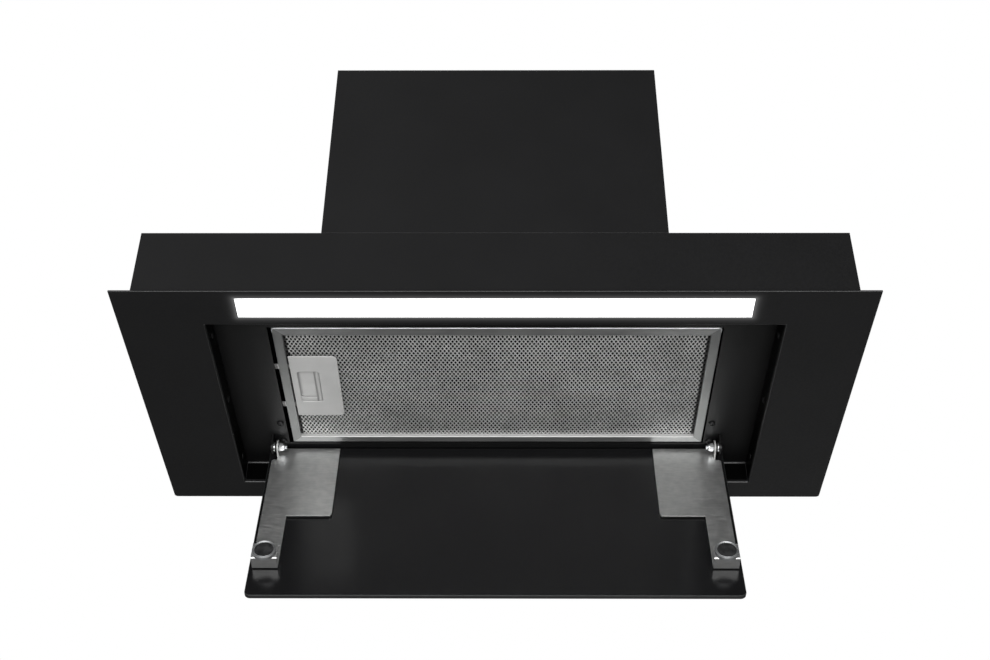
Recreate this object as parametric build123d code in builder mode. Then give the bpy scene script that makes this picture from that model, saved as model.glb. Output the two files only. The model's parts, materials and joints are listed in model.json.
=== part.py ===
from build123d import *
import math
import os

os.makedirs("parts", exist_ok=True)

# Built-in range hood with a drop-down glass flap, in millimetres.
# Origin: middle of the seat, the upper side of the flange that lies against the cabinet.
# X is to the right, Y to the back, Z up.

# Face plate and recess
plate_width = 600.0
plate_depth = 300.0
plate_sheet = 1.5
plate_rear_corner = 3.0
opening_side_margin = 69.0
opening_front_margin = 42.0
opening_rear_margin = 25.0
recess_depth = 22.0
recess_lip_radius = 1.3

# Deck: the ceiling of the recess
deck_sheet = 1.2
deck_side_land = 43.0
deck_front_land = 31.0
deck_rear_land = 32.5
deck_flange = 14.0

# Light
light_side_margin = 97.0
light_front_margin = 9.0
light_height = 23.0
light_profile_wall = 0.9
light_profile_height = 13.0
diffuser_thickness = 2.0
diffuser_leg = 6.0
diffuser_leg_wall = 1.2
light_board_thickness = 1.0
light_chip_size = 3.0
light_chip_height = 0.8
light_chip_count = 24
light_play = 0.1
light_board_width = 16.0
light_board_inset = 3.0
light_cap_thickness = 1.5

# Body shell and motor box
body_side_overhang = 15.0
body_front_overhang = 7.0
body_rear_overhang = 15.0
body_height = 67.0
body_sheet = 1.0
seat_inset = 2.0
motor_box_width = 280.0
motor_box_depth = 256.0
motor_box_height = 193.0
motor_box_rim = 20.0
box_top_flange = 10.0
side_hole_spacing = 180.0
side_hole_height = 32.0
side_hole_radius = 2.25

# Flap
flap_gap = 26.0
flap_recess = 0.5
flap_corner = 5.0
flap_edge_chamfer = 0.4
glass_thickness = 4.0
glass_beyond_pin = 10.0
pin_height = 14.5
flap_stop_gap = 0.4
tape_thickness = 1.2
tape_inset = 0.6
bracket_sheet = 1.5
bracket_inset = 1.9
bracket_width = 60.8
bracket_step = 81.0
bracket_arm_width = 21.6
bracket_reach = 141.5
bracket_corner = 4.0
bracket_block_height = 13.2
bracket_block_length = 17.0
ear_radius = 6.5
ear_notch = 8.5
magnet_diameter = 20.0
magnet_height = 3.8
magnet_core_diameter = 15.0
magnet_core_recess = 0.3
magnet_from_end = 6.5

# Hinge hardware, M4
bolt_diameter = 4.0
bolt_head_diameter = 7.0
bolt_head_height = 2.5
bolt_beyond_nut = 2.0
pin_clearance = 0.05
side_play = 0.15
washer_diameter = 9.0
washer_thickness = 1.0
spacer_diameter = 7.0
spacer_thickness = 1.75
nut_flats = 7.0
nut_length = 5.0
nut_collar_length = 1.6
nut_collar_radius = 3.1
ear_from_edge = 6.7
tab_sheet = 1.5
tab_width = 20.0
tab_slot_clearance = 0.4
hinge_foot_width = 14.5
hinge_foot_front = 34.0
hinge_foot_rear = 7.0
hinge_screw_spacing = 27.8
hinge_screw_from_tab = 9.7

# Screws
screw_radius = 1.5
screw_hole_clearance = 0.2
screw_head_radius = 3.0
screw_head_height = 2.2
screw_faces = 12

# Filter cassette
frame_latch_gap = 3.5
frame_hook_gap = 1.5
frame_front_gap = 1.0
frame_rear_gap = 1.5
frame_height = 9.5
frame_sheet = 0.8
frame_lip = 7.8
frame_front_lip = 10.0
frame_return = 3.7
frame_top_lip = 5.0
frame_slot_play = 0.5
frame_bend = 0.7
mesh_sheet = 0.8
mesh_play = 0.2
mesh_pitch_x = 24.0
mesh_pitch_y = 28.0
mesh_web = 3.4
rear_mesh_scale = 2
hook_width = 14.0
hook_spread = 70.0
hook_reach = 5.0
hook_play = 0.3

# Handle and latch of the cassette
handle_width = 40.4
handle_length = 86.4
handle_rise = 0.6
handle_skin = 0.8
handle_wall = 1.5
handle_corner = 4.0
handle_from_lip = 2.1
handle_from_front = 39.8
grip_hole_width = 17.9
grip_hole_length = 44.0
grip_hole_corner = 3.0
grip_hole_from_left = 4.4
slider_thickness = 1.4
slider_width = 23.0
slider_length = 66.0
slider_from_wall = 2.0
slider_play = 0.2
well_width = 11.4
well_length = 34.0
well_depth = 0.8
well_from_left = 2.1
well_forward = 4.0
tongue_width = 6.0
tongue_thickness = 1.2
tongue_spread = 55.0
tongue_overlap = 3.0
tongue_play = 0.5
tongue_root = 4.0
latch_travel = 4.5
spring_wire = 0.8
spring_waves = 3
spring_width = 12.0
spring_gap = 0.3

# Blower
impeller_radius = 64.0
impeller_inner_radius = 52.0
impeller_width = 92.0
impeller_disc = 1.6
impeller_ring = 2.5
impeller_ring_width = 5.0
impeller_hub_radius = 11.0
impeller_hub_length = 16.0
blade_count = 30
blade_thickness = 1.2
blade_lean = 9.0
blade_belly_share = 0.25
volute_gap = 8.0
volute_step = 10.0
volute_wall = 2.0
volute_side_gap = 6.0
volute_floor_gap = 3.0
volute_tongue_angle = 62.0
volute_tongue_radius = 3.0
volute_neck_front = 18.0
volute_flange = 5.0
inlet_radius = 54.0
inlet_lip_height = 4.0
boss_radius = 5.0
boss_length = 12.0
boss_angles = (100.0, 165.0, 230.0, 300.0)
rail_height = 24.0
rail_foot = 14.0
rail_sheet = 1.5
rail_end_gap = 2.0

# Motor
motor_radius = 38.0
motor_length = 58.0
motor_from_disc = 12.0
motor_boss_radius = 20.0
motor_boss_length = 8.0
motor_rib_count = 12
motor_rib_height = 2.0
motor_rib_width = 3.0
motor_bore_depth = 24.0
shaft_radius = 4.0
shaft_clearance = 0.05
shaft_nut_flats = 13.0
shaft_nut_length = 5.0
shaft_beyond_nut = 3.0
carrier_thickness = 3.0
carrier_ring_width = 14.0
carrier_arm_width = 14.0
carrier_pad_radius = 8.0
carrier_bolt_radius = 66.0
carrier_arm_count = 3
carrier_first_angle = 30.0
bush_radius = 6.0

# Outlet collar for a 150 mm duct, with its two dampers
collar_radius = 75.0
collar_from_front = 158.0
collar_wall = 1.8
collar_height = 45.0
collar_base = 176.0
collar_base_thickness = 3.0
collar_base_corner = 12.0
damper_pin_radius = 1.5
damper_pin_height = 20.0
damper_clearance = 0.7
damper_thickness = 1.0
damper_knuckle_radius = 3.0
damper_knuckle_gap = 0.5
damper_edge_gap = 2.0
damper_knuckles = 4
damper_notch = 0.6
ledge_width = 2.2
ledge_height = 1.6
ledge_gap = 0.3
damper_end_gap = 2.5

# Electrics
control_width = 38.0
control_length = 118.0
control_height = 30.0
control_wall = 2.0
control_from_edge = 2.0
control_from_front = 28.0
board_thickness = 1.6
board_margin = 1.0
board_rib_height = 4.0
board_rib_width = 2.0
relay_width = 14.0
relay_length = 18.0
relay_height = 15.0
driver_width = 34.0
driver_length = 104.0
driver_height = 22.0
driver_corner = 3.0
driver_from_front = 8.0
capacitor_radius = 15.0
capacitor_length = 62.0
capacitor_from_wall = 3.0
capacitor_from_front = 40.0
capacitor_height = 70.0
capacitor_pin = 6.0
clip_height = 14.0
clip_sheet = 1.2
clip_play = 0.1
gland_bore = 4.0
gland_thread_radius = 8.0
gland_thread_length = 10.0
gland_nut_flats = 22.0
gland_nut_length = 5.0
gland_dome = 10.0
gland_dome_radius = 8.5
gland_hole_play = 0.3
gland_from_side = 70.0
gland_from_rear = 40.0

# Places that follow from the sizes above
plate_top_z = -body_sheet
under_z = plate_top_z - plate_sheet
front_y = -plate_depth / 2
rear_y = plate_depth / 2
opening_x = plate_width / 2 - opening_side_margin
opening_front_y = front_y + opening_front_margin
opening_rear_y = rear_y - opening_rear_margin
opening_depth = opening_rear_y - opening_front_y
opening_mid_y = (opening_rear_y + opening_front_y) / 2
deck_z = under_z + recess_depth
deck_top_z = deck_z + deck_sheet
deck_x = opening_x + plate_sheet + deck_sheet
light_x = plate_width / 2 - light_side_margin
light_front_y = front_y + light_front_margin
light_mid_y = light_front_y + light_height / 2
cassette_hole_x = opening_x - deck_side_land
cassette_hole_front_y = opening_front_y + deck_front_land
cassette_hole_rear_y = opening_rear_y - deck_rear_land
pin_z = under_z + pin_height
pin_y = opening_rear_y - flap_gap - glass_beyond_pin
pin_standoff = pin_height - flap_recess - glass_thickness
glass_x = opening_x - flap_gap
glass_length = opening_depth - 2 * flap_gap

# The open flap stops with its upper edge just under the deck
edge_radius = math.hypot(glass_beyond_pin, pin_standoff)
edge_angle = math.degrees(math.atan2(pin_standoff, glass_beyond_pin))
stop_rise = deck_z - pin_z - flap_stop_gap
flap_open_angle = edge_angle + math.degrees(math.asin(stop_rise / edge_radius))
flap_lean = math.radians(90 - flap_open_angle)
print("flap opens by", round(flap_open_angle, 3), "degrees")

# Flap plane: origin on the hinge axis, local Y up the flap, local Z away from the glass
flap_plane = Plane(
    origin=(0, pin_y, pin_z),
    x_dir=(1, 0, 0),
    z_dir=(0, -math.cos(flap_lean), math.sin(flap_lean)),
)
glass_face = -pin_standoff
plate_face = glass_face + tape_thickness
ear_outer_x = glass_x - ear_from_edge
ear_inner_x = ear_outer_x - bracket_sheet
bracket_outer_x = glass_x - bracket_inset
arm_inner_x = bracket_outer_x - bracket_arm_width
bracket_inner_x = bracket_outer_x - bracket_width
spacer_outer_x = ear_outer_x + side_play + spacer_thickness
washer_outer_x = spacer_outer_x + washer_thickness
tab_outer_x = washer_outer_x + tab_sheet
nut_outer_x = ear_inner_x - side_play
bolt_tip_x = nut_outer_x - nut_length - bolt_beyond_nut
hinge_screw_x = tab_outer_x - hinge_screw_from_tab
hinge_sides = ((-1, "left"), (1, "right"))

# Face plate: the visible flange, the recess walls folded up from it, and the slot for the light
with BuildPart() as face_plate:
    with BuildSketch(Plane.XY.offset(under_z)) as plate_outline:
        Rectangle(plate_width, plate_depth)
        fillet(plate_outline.vertices().group_by(Axis.Y)[-1], radius=plate_rear_corner)
        with Locations((0, opening_mid_y)):
            Rectangle(2 * opening_x, opening_depth, mode=Mode.SUBTRACT)
        with Locations((0, light_mid_y)):
            Rectangle(2 * light_x, light_height, mode=Mode.SUBTRACT)
    extrude(amount=plate_sheet)
    with BuildSketch(Plane.XY.offset(plate_top_z)):
        with Locations((0, opening_mid_y)):
            Rectangle(2 * (opening_x + plate_sheet), opening_depth + 2 * plate_sheet)
            Rectangle(2 * opening_x, opening_depth, mode=Mode.SUBTRACT)
    extrude(amount=deck_z - plate_top_z)
    under_edges = face_plate.edges().group_by(Axis.Z)[0]
    lip_edges = under_edges.filter_by_position(Axis.Y, opening_front_y, opening_rear_y)
    lip_edges = lip_edges.filter_by_position(Axis.X, -opening_x, opening_x)
    fillet(lip_edges, radius=min(recess_lip_radius, 0.9 * plate_sheet))
face_plate.part.label = "face_plate"
export_step(face_plate.part, "parts/face_plate.step")

# Deck: ceiling pan with the cassette opening, slots for the hinge tabs and two folded sides
tab_mid_x = tab_outer_x - tab_sheet / 2
hinge_screw_front_y = pin_y - hinge_screw_spacing
hinge_screw_mid_y = pin_y - hinge_screw_spacing / 2
with BuildPart() as filter_deck:
    with BuildSketch(Plane.XY.offset(deck_z)):
        with Locations((0, opening_mid_y)):
            Rectangle(2 * deck_x, opening_depth + 2 * plate_sheet)
        with Locations((0, (cassette_hole_front_y + cassette_hole_rear_y) / 2)):
            Rectangle(2 * cassette_hole_x, cassette_hole_rear_y - cassette_hole_front_y, mode=Mode.SUBTRACT)
        with Locations((-tab_mid_x, pin_y), (tab_mid_x, pin_y)):
            Rectangle(
                tab_sheet + 2 * tab_slot_clearance,
                tab_width + 2 * tab_slot_clearance,
                mode=Mode.SUBTRACT,
            )
        with Locations((0, hinge_screw_mid_y)):
            with GridLocations(2 * hinge_screw_x, hinge_screw_spacing, 2, 2):
                Circle(screw_radius + screw_hole_clearance, mode=Mode.SUBTRACT)
    extrude(amount=deck_sheet)
    with BuildSketch(Plane.XY.offset(deck_top_z)):
        with Locations((0, opening_mid_y)):
            with GridLocations(2 * deck_x - deck_sheet, 0, 2, 1):
                Rectangle(deck_sheet, opening_depth)
    extrude(amount=-deck_flange)
filter_deck.part.label = "filter_deck"
export_step(filter_deck.part, "parts/filter_deck.step")

# Hinge brackets: a foot on top of the deck and a tab that comes down through its slot
foot_top_z = deck_top_z + tab_sheet
foot_front_y = pin_y - hinge_foot_front
foot_rear_y = pin_y + hinge_foot_rear + tab_width / 2
for side, word in hinge_sides:
    with BuildPart() as hinge_bracket:
        with BuildSketch(Plane.XY.offset(deck_top_z)):
            with Locations((side * (tab_outer_x - hinge_foot_width / 2), (foot_front_y + foot_rear_y) / 2)):
                Rectangle(hinge_foot_width, foot_rear_y - foot_front_y)
            with Locations((side * hinge_screw_x, (pin_y + hinge_screw_front_y) / 2)):
                with GridLocations(0, hinge_screw_spacing, 1, 2):
                    Circle(screw_radius + screw_hole_clearance, mode=Mode.SUBTRACT)
        extrude(amount=tab_sheet)
        with BuildSketch(Plane.YZ.offset(side * tab_outer_x)):
            with Locations((pin_y, (foot_top_z + pin_z) / 2)):
                Rectangle(tab_width, foot_top_z - pin_z)
            with Locations((pin_y, pin_z)):
                Circle(tab_width / 2)
                Rectangle(tab_width, tab_width, align=(Align.CENTER, Align.MAX), mode=Mode.SUBTRACT)
                Circle(ear_radius)
            with Locations((pin_y, pin_z)):
                Circle(bolt_diameter / 2 + pin_clearance, mode=Mode.SUBTRACT)
        extrude(amount=-side * tab_sheet)
    hinge_bracket.part.label = f"hinge_bracket_{word}"
    export_step(hinge_bracket.part, f"parts/hinge_bracket_{word}.step")

# Hinge screws: four, up through the deck into the feet
with BuildPart() as hinge_screws:
    with BuildSketch(Plane.XY.offset(deck_z)):
        with Locations((0, hinge_screw_mid_y)):
            with GridLocations(2 * hinge_screw_x, hinge_screw_spacing, 2, 2):
                RegularPolygon(screw_head_radius, screw_faces)
    extrude(amount=-screw_head_height)
    with BuildSketch(Plane.XY.offset(deck_z)):
        with Locations((0, hinge_screw_mid_y)):
            with GridLocations(2 * hinge_screw_x, hinge_screw_spacing, 2, 2):
                RegularPolygon(screw_radius, screw_faces)
    extrude(amount=deck_sheet + 2 * tab_sheet)
hinge_screws.part.label = "hinge_screws"
export_step(hinge_screws.part, "parts/hinge_screws.step")

# Hinge bolts with their washers, black spacers and locking nuts, one stack on each side
bolt_axes = [
    Plane(origin=(side * tab_outer_x, pin_y, pin_z), x_dir=(0, 1, 0), z_dir=(side, 0, 0))
    for side, word in hinge_sides
]
with BuildPart() as hinge_bolts:
    with Locations(*bolt_axes):
        Cylinder(bolt_head_diameter / 2, bolt_head_height, align=(Align.CENTER, Align.CENTER, Align.MIN))
        Cylinder(bolt_diameter / 2, tab_outer_x - bolt_tip_x, align=(Align.CENTER, Align.CENTER, Align.MAX))
hinge_bolts.part.label = "hinge_bolts"
export_step(hinge_bolts.part, "parts/hinge_bolts.step")

with BuildPart() as hinge_washers:
    for seat in bolt_axes:
        with BuildSketch(seat.offset(-tab_sheet)):
            Circle(washer_diameter / 2)
            Circle(bolt_diameter / 2 + pin_clearance, mode=Mode.SUBTRACT)
        extrude(amount=-washer_thickness)
hinge_washers.part.label = "hinge_washers"
export_step(hinge_washers.part, "parts/hinge_washers.step")

with BuildPart() as hinge_spacers:
    for seat in bolt_axes:
        with BuildSketch(seat.offset(-tab_sheet - washer_thickness)):
            Circle(spacer_diameter / 2)
            Circle(bolt_diameter / 2 + pin_clearance, mode=Mode.SUBTRACT)
        extrude(amount=-spacer_thickness)
hinge_spacers.part.label = "hinge_spacers"
export_step(hinge_spacers.part, "parts/hinge_spacers.step")

with BuildPart() as hinge_nuts:
    for seat in bolt_axes:
        with BuildSketch(seat.offset(nut_outer_x - tab_outer_x)):
            RegularPolygon(nut_flats / 2, 6, major_radius=False)
            Circle(bolt_diameter / 2 + pin_clearance, mode=Mode.SUBTRACT)
        extrude(amount=-(nut_length - nut_collar_length))
        with BuildSketch(seat.offset(nut_outer_x - tab_outer_x - nut_length + nut_collar_length)):
            Circle(nut_collar_radius)
            Circle(bolt_diameter / 2 + pin_clearance, mode=Mode.SUBTRACT)
        extrude(amount=-nut_collar_length)
hinge_nuts.part.label = "hinge_nuts"
export_step(hinge_nuts.part, "parts/hinge_nuts.step")

# Flap glass
with BuildPart() as flap_glass:
    with BuildSketch(flap_plane.offset(glass_face - glass_thickness)):
        with Locations((0, glass_beyond_pin - glass_length / 2)):
            RectangleRounded(2 * glass_x, glass_length, flap_corner)
    extrude(amount=glass_thickness)
    chamfer(flap_glass.faces().filter_by(flap_plane).edges(), length=flap_edge_chamfer)
flap_glass.part.label = "flap_glass"
export_step(flap_glass.part, "parts/flap_glass.step")

# Flap brackets: bonded plate, ear round the hinge bolt, arm, and folded end that carries the magnet
block_face = plate_face + bracket_block_height - tape_thickness
block_mid_y = -(bracket_reach - bracket_block_length / 2)
arm_mid_x = (bracket_outer_x + arm_inner_x) / 2
for side, word in hinge_sides:
    with BuildPart() as flap_bracket:
        with BuildSketch(flap_plane.offset(plate_face)) as bracket_outline:
            with BuildLine():
                Polyline(
                    (side * ear_outer_x, ear_radius),
                    (side * bracket_inner_x, ear_radius),
                    (side * bracket_inner_x, -bracket_step),
                    (side * arm_inner_x, -bracket_step),
                    (side * arm_inner_x, -bracket_reach),
                    (side * bracket_outer_x, -bracket_reach),
                    (side * bracket_outer_x, -ear_notch),
                    (side * ear_outer_x, -ear_notch),
                    close=True,
                )
            make_face()
            corners = bracket_outline.vertices()
            fillet(corners.sort_by_distance((side * bracket_inner_x, -bracket_step)).first, bracket_corner)
            corners = bracket_outline.vertices()
            fillet(corners.sort_by_distance((side * bracket_outer_x, -ear_notch)).first, 0.6 * bracket_corner)
        extrude(amount=bracket_sheet)
        ear_plane = Plane(
            origin=flap_plane.from_local_coords((side * ear_outer_x, 0, 0)),
            x_dir=flap_plane.y_dir,
            z_dir=(1, 0, 0),
        )
        ear_foot = -plate_face
        with BuildSketch(ear_plane):
            Circle(ear_radius)
            with Locations((0, 0)):
                Rectangle(2 * ear_radius, ear_foot, align=(Align.CENTER, Align.MAX))
            Circle(bolt_diameter / 2 + pin_clearance, mode=Mode.SUBTRACT)
        extrude(amount=-side * bracket_sheet)
        with BuildSketch(flap_plane.offset(plate_face)):
            with Locations((side * arm_mid_x, -bracket_reach)):
                Rectangle(bracket_arm_width, bracket_sheet, align=(Align.CENTER, Align.MIN))
        extrude(amount=block_face - plate_face)
        with BuildSketch(flap_plane.offset(block_face - bracket_sheet)):
            with Locations((side * arm_mid_x, block_mid_y)):
                Rectangle(bracket_arm_width, bracket_block_length)
        extrude(amount=bracket_sheet)
        fold_line = flap_plane.from_local_coords((side * arm_mid_x, -bracket_reach, block_face))
        fillet(flap_bracket.edges().sort_by_distance(fold_line).first, radius=0.95 * bracket_sheet)
    flap_bracket.part.label = f"flap_bracket_{word}"
    export_step(flap_bracket.part, f"parts/flap_bracket_{word}.step")

# Bonding tape under the two bracket plates
with BuildPart() as bracket_tape:
    with BuildSketch(flap_plane.offset(glass_face)):
        for side, word in hinge_sides:
            with BuildLine():
                Polyline(
                    (side * (ear_inner_x - tape_inset), ear_radius - tape_inset),
                    (side * (bracket_inner_x + tape_inset), ear_radius - tape_inset),
                    (side * (bracket_inner_x + tape_inset), -bracket_step + tape_inset),
                    (side * (arm_inner_x + tape_inset), -bracket_step + tape_inset),
                    (side * (arm_inner_x + tape_inset), -bracket_reach + tape_inset),
                    (side * (bracket_outer_x - tape_inset), -bracket_reach + tape_inset),
                    (side * (bracket_outer_x - tape_inset), -ear_notch - tape_inset),
                    (side * (ear_inner_x - tape_inset), -ear_notch - tape_inset),
                    close=True,
                )
            make_face()
    extrude(amount=tape_thickness)
bracket_tape.part.label = "bracket_tape"
export_step(bracket_tape.part, "parts/bracket_tape.step")

# Magnets: bright steel cups on the bracket ends, with their dark cores
magnet_places = [(side * arm_mid_x, magnet_from_end - bracket_reach) for side, word in hinge_sides]
with BuildPart() as magnet_cups:
    with BuildSketch(flap_plane.offset(block_face)):
        with Locations(*magnet_places):
            Circle(magnet_diameter / 2)
    extrude(amount=magnet_height)
    with BuildSketch(flap_plane.offset(block_face + magnet_height)):
        with Locations(*magnet_places):
            Circle(magnet_core_diameter / 2)
    extrude(amount=-(magnet_height - bracket_sheet), mode=Mode.SUBTRACT)
magnet_cups.part.label = "magnet_cups"
export_step(magnet_cups.part, "parts/magnet_cups.step")

with BuildPart() as magnet_cores:
    with BuildSketch(flap_plane.offset(block_face + bracket_sheet)):
        with Locations(*magnet_places):
            Circle(magnet_core_diameter / 2)
    extrude(amount=magnet_height - bracket_sheet - magnet_core_recess)
magnet_cores.part.label = "magnet_cores"
export_step(magnet_cores.part, "parts/magnet_cores.step")

# Body shell: walls, roof with the air opening, and the outward flange at its foot, which is the seat
body_x = plate_width / 2 - body_side_overhang
body_front_y = front_y + body_front_overhang
body_rear_y = rear_y - body_rear_overhang
body_mid_y = (body_front_y + body_rear_y) / 2
body_top_z = under_z + body_height
box_front_y = body_front_y
box_mid_y = box_front_y + motor_box_depth / 2
box_x = motor_box_width / 2
box_top_z = body_top_z + motor_box_height
gland_x = body_x - gland_from_side
gland_y = body_rear_y - gland_from_rear
with BuildPart() as body_shell:
    with BuildSketch(Plane.XY.offset(plate_top_z)):
        Rectangle(plate_width - 2 * seat_inset, plate_depth - 2 * seat_inset)
        with Locations((0, body_mid_y)):
            Rectangle(
                2 * (body_x - body_sheet),
                body_rear_y - body_front_y - 2 * body_sheet,
                mode=Mode.SUBTRACT,
            )
    extrude(amount=body_sheet)
    with BuildSketch(Plane.XY.offset(plate_top_z)):
        with Locations((0, body_mid_y)):
            Rectangle(2 * body_x, body_rear_y - body_front_y)
            Rectangle(
                2 * (body_x - body_sheet),
                body_rear_y - body_front_y - 2 * body_sheet,
                mode=Mode.SUBTRACT,
            )
    extrude(amount=body_top_z - plate_top_z)
    with BuildSketch(Plane.XY.offset(body_top_z)):
        with Locations((0, body_mid_y)):
            Rectangle(2 * body_x, body_rear_y - body_front_y)
        with Locations((0, box_mid_y)):
            Rectangle(
                motor_box_width - 2 * motor_box_rim,
                motor_box_depth - 2 * motor_box_rim,
                mode=Mode.SUBTRACT,
            )
        with Locations((gland_x, gland_y)):
            Circle(gland_thread_radius + gland_hole_play, mode=Mode.SUBTRACT)
    extrude(amount=-body_sheet)
    with BuildSketch(Plane.YZ.offset(-body_x)):
        with Locations((body_mid_y, under_z + side_hole_height)):
            with GridLocations(side_hole_spacing, 0, 2, 1):
                Circle(side_hole_radius)
    extrude(amount=2 * body_x, mode=Mode.SUBTRACT)
body_shell.part.label = "body_shell"
export_step(body_shell.part, "parts/body_shell.step")

# Motor box: four walls with a rim on the body's roof and a narrower rim under the lid
lid_z = box_top_z - body_sheet
collar_y = box_front_y + collar_from_front
bore_radius = collar_radius - collar_wall
with BuildPart() as motor_box:
    with BuildSketch(Plane.XY.offset(body_top_z)):
        with Locations((0, box_mid_y)):
            Rectangle(motor_box_width, motor_box_depth)
            Rectangle(
                motor_box_width - 2 * motor_box_rim,
                motor_box_depth - 2 * motor_box_rim,
                mode=Mode.SUBTRACT,
            )
    extrude(amount=body_sheet)
    with BuildSketch(Plane.XY.offset(body_top_z)):
        with Locations((0, box_mid_y)):
            Rectangle(motor_box_width, motor_box_depth)
            Rectangle(
                motor_box_width - 2 * body_sheet,
                motor_box_depth - 2 * body_sheet,
                mode=Mode.SUBTRACT,
            )
    extrude(amount=lid_z - body_top_z)
    with BuildSketch(Plane.XY.offset(lid_z)):
        with Locations((0, box_mid_y)):
            Rectangle(motor_box_width, motor_box_depth)
            Rectangle(
                motor_box_width - 2 * box_top_flange,
                motor_box_depth - 2 * box_top_flange,
                mode=Mode.SUBTRACT,
            )
    extrude(amount=-body_sheet)
motor_box.part.label = "motor_box"
export_step(motor_box.part, "parts/motor_box.step")

# Light: diffuser strip in the slot, aluminium channel over it, board with its chips, and end caps
profile_x = light_x
profile_height_y = light_height + 2 * light_profile_wall
profile_top_z = plate_top_z + light_profile_height
with BuildPart() as light_diffuser:
    with BuildSketch(Plane.XY.offset(under_z)):
        with Locations((0, light_mid_y)):
            Rectangle(2 * (light_x - light_play), light_height - 2 * light_play)
    extrude(amount=diffuser_thickness)
    with BuildSketch(Plane.XY.offset(under_z + diffuser_thickness)):
        with Locations((0, light_mid_y)):
            with GridLocations(0, light_height - 2 * light_play - diffuser_leg_wall, 1, 2):
                Rectangle(2 * (light_x - light_play), diffuser_leg_wall)
    extrude(amount=diffuser_leg)
light_diffuser.part.label = "light_diffuser"
export_step(light_diffuser.part, "parts/light_diffuser.step")

with BuildPart() as light_channel:
    with BuildSketch(Plane.YZ.offset(-profile_x)):
        with Locations((light_mid_y, plate_top_z)):
            Rectangle(profile_height_y, light_profile_height, align=(Align.CENTER, Align.MIN))
            Rectangle(
                light_height,
                light_profile_height - light_profile_wall,
                align=(Align.CENTER, Align.MIN),
                mode=Mode.SUBTRACT,
            )
    extrude(amount=2 * profile_x)
light_channel.part.label = "light_channel"
export_step(light_channel.part, "parts/light_channel.step")

board_under_z = profile_top_z - light_profile_wall - light_board_thickness
with BuildPart() as light_board:
    with BuildSketch(Plane.XY.offset(board_under_z)):
        with Locations((0, light_mid_y)):
            Rectangle(2 * (light_x - light_board_inset), light_board_width)
    extrude(amount=light_board_thickness)
light_board.part.label = "light_board"
export_step(light_board.part, "parts/light_board.step")

chip_pitch = 2 * (light_x - light_board_inset) / light_chip_count
with BuildPart() as light_chips:
    with BuildSketch(Plane.XY.offset(board_under_z)):
        with Locations((0, light_mid_y)):
            with GridLocations(chip_pitch, 0, light_chip_count, 1):
                Rectangle(light_chip_size, light_chip_size)
    extrude(amount=-light_chip_height)
light_chips.part.label = "light_chips"
export_step(light_chips.part, "parts/light_chips.step")

with BuildPart() as light_end_caps:
    with BuildSketch(Plane.XY.offset(plate_top_z)):
        with Locations((0, light_mid_y)):
            with GridLocations(2 * profile_x + light_cap_thickness, 0, 2, 1):
                Rectangle(light_cap_thickness, profile_height_y)
    extrude(amount=light_profile_height)
light_end_caps.part.label = "light_end_caps"
export_step(light_end_caps.part, "parts/light_end_caps.step")

# Filter cassette: folded frame with slots for the latch on the left and two hooks on the right
frame_left_x = -cassette_hole_x + frame_latch_gap
frame_right_x = cassette_hole_x - frame_hook_gap
frame_front_y = cassette_hole_front_y + frame_front_gap
frame_rear_y = cassette_hole_rear_y - frame_rear_gap
frame_mid_x = (frame_left_x + frame_right_x) / 2
frame_mid_y = (frame_front_y + frame_rear_y) / 2
frame_width = frame_right_x - frame_left_x
frame_depth = frame_rear_y - frame_front_y
front_lip_extra = frame_front_lip - frame_lip
handle_left_x = frame_left_x + frame_lip + handle_from_lip
handle_mid_y = frame_front_y + handle_from_front + handle_length / 2
tongue_under_z = deck_top_z + tongue_play
tongue_tip_x = -cassette_hole_x - tongue_overlap
print("the latch draws its tongues clear of the deck by", latch_travel - tongue_overlap, "mm")


# A rectangle in the frame's plane at a distance inside its outline, with something more left at the front
def frame_rectangle(inset, front_extra, mode=Mode.ADD):
    with Locations((frame_mid_x, frame_mid_y + front_extra / 2)):
        Rectangle(frame_width - 2 * inset, frame_depth - 2 * inset - front_extra, mode=mode)


with BuildPart() as filter_frame:
    with BuildSketch(Plane.XY.offset(deck_z)):
        frame_rectangle(0, 0)
        frame_rectangle(frame_lip, front_lip_extra, Mode.SUBTRACT)
    extrude(amount=frame_sheet)
    with BuildSketch(Plane.XY.offset(deck_z)):
        frame_rectangle(0, 0)
        frame_rectangle(frame_sheet, 0, Mode.SUBTRACT)
    extrude(amount=frame_height)
    with BuildSketch(Plane.XY.offset(deck_z)):
        frame_rectangle(frame_lip - frame_sheet, front_lip_extra)
        frame_rectangle(frame_lip, front_lip_extra, Mode.SUBTRACT)
    extrude(amount=frame_return)
    with BuildSketch(Plane.XY.offset(deck_z + frame_height)):
        frame_rectangle(0, 0)
        frame_rectangle(frame_top_lip, 0, Mode.SUBTRACT)
    extrude(amount=-frame_sheet)
    with BuildSketch(Plane.YZ.offset(frame_left_x)):
        with Locations((handle_mid_y, tongue_under_z + tongue_thickness / 2)):
            with GridLocations(tongue_spread, 0, 2, 1):
                Rectangle(tongue_width + 2 * frame_slot_play, tongue_thickness + 2 * frame_slot_play)
    extrude(amount=frame_lip, mode=Mode.SUBTRACT)
    with BuildSketch(Plane.XY.offset(deck_top_z + hook_play)):
        with Locations((frame_right_x - frame_sheet, frame_mid_y)):
            with GridLocations(0, hook_spread, 1, 2):
                Rectangle(frame_sheet + hook_reach, hook_width, align=(Align.MIN, Align.CENTER))
    extrude(amount=frame_sheet)
    bend_edges = filter_frame.edges().group_by(Axis.Z)[0]
    outer_bends = bend_edges.filter_by(lambda edge: edge.length > frame_depth - frame_lip)
    fillet(outer_bends, radius=min(frame_bend, 0.8 * frame_sheet))
filter_frame.part.label = "filter_frame"
export_step(filter_frame.part, "parts/filter_frame.step")


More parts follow.
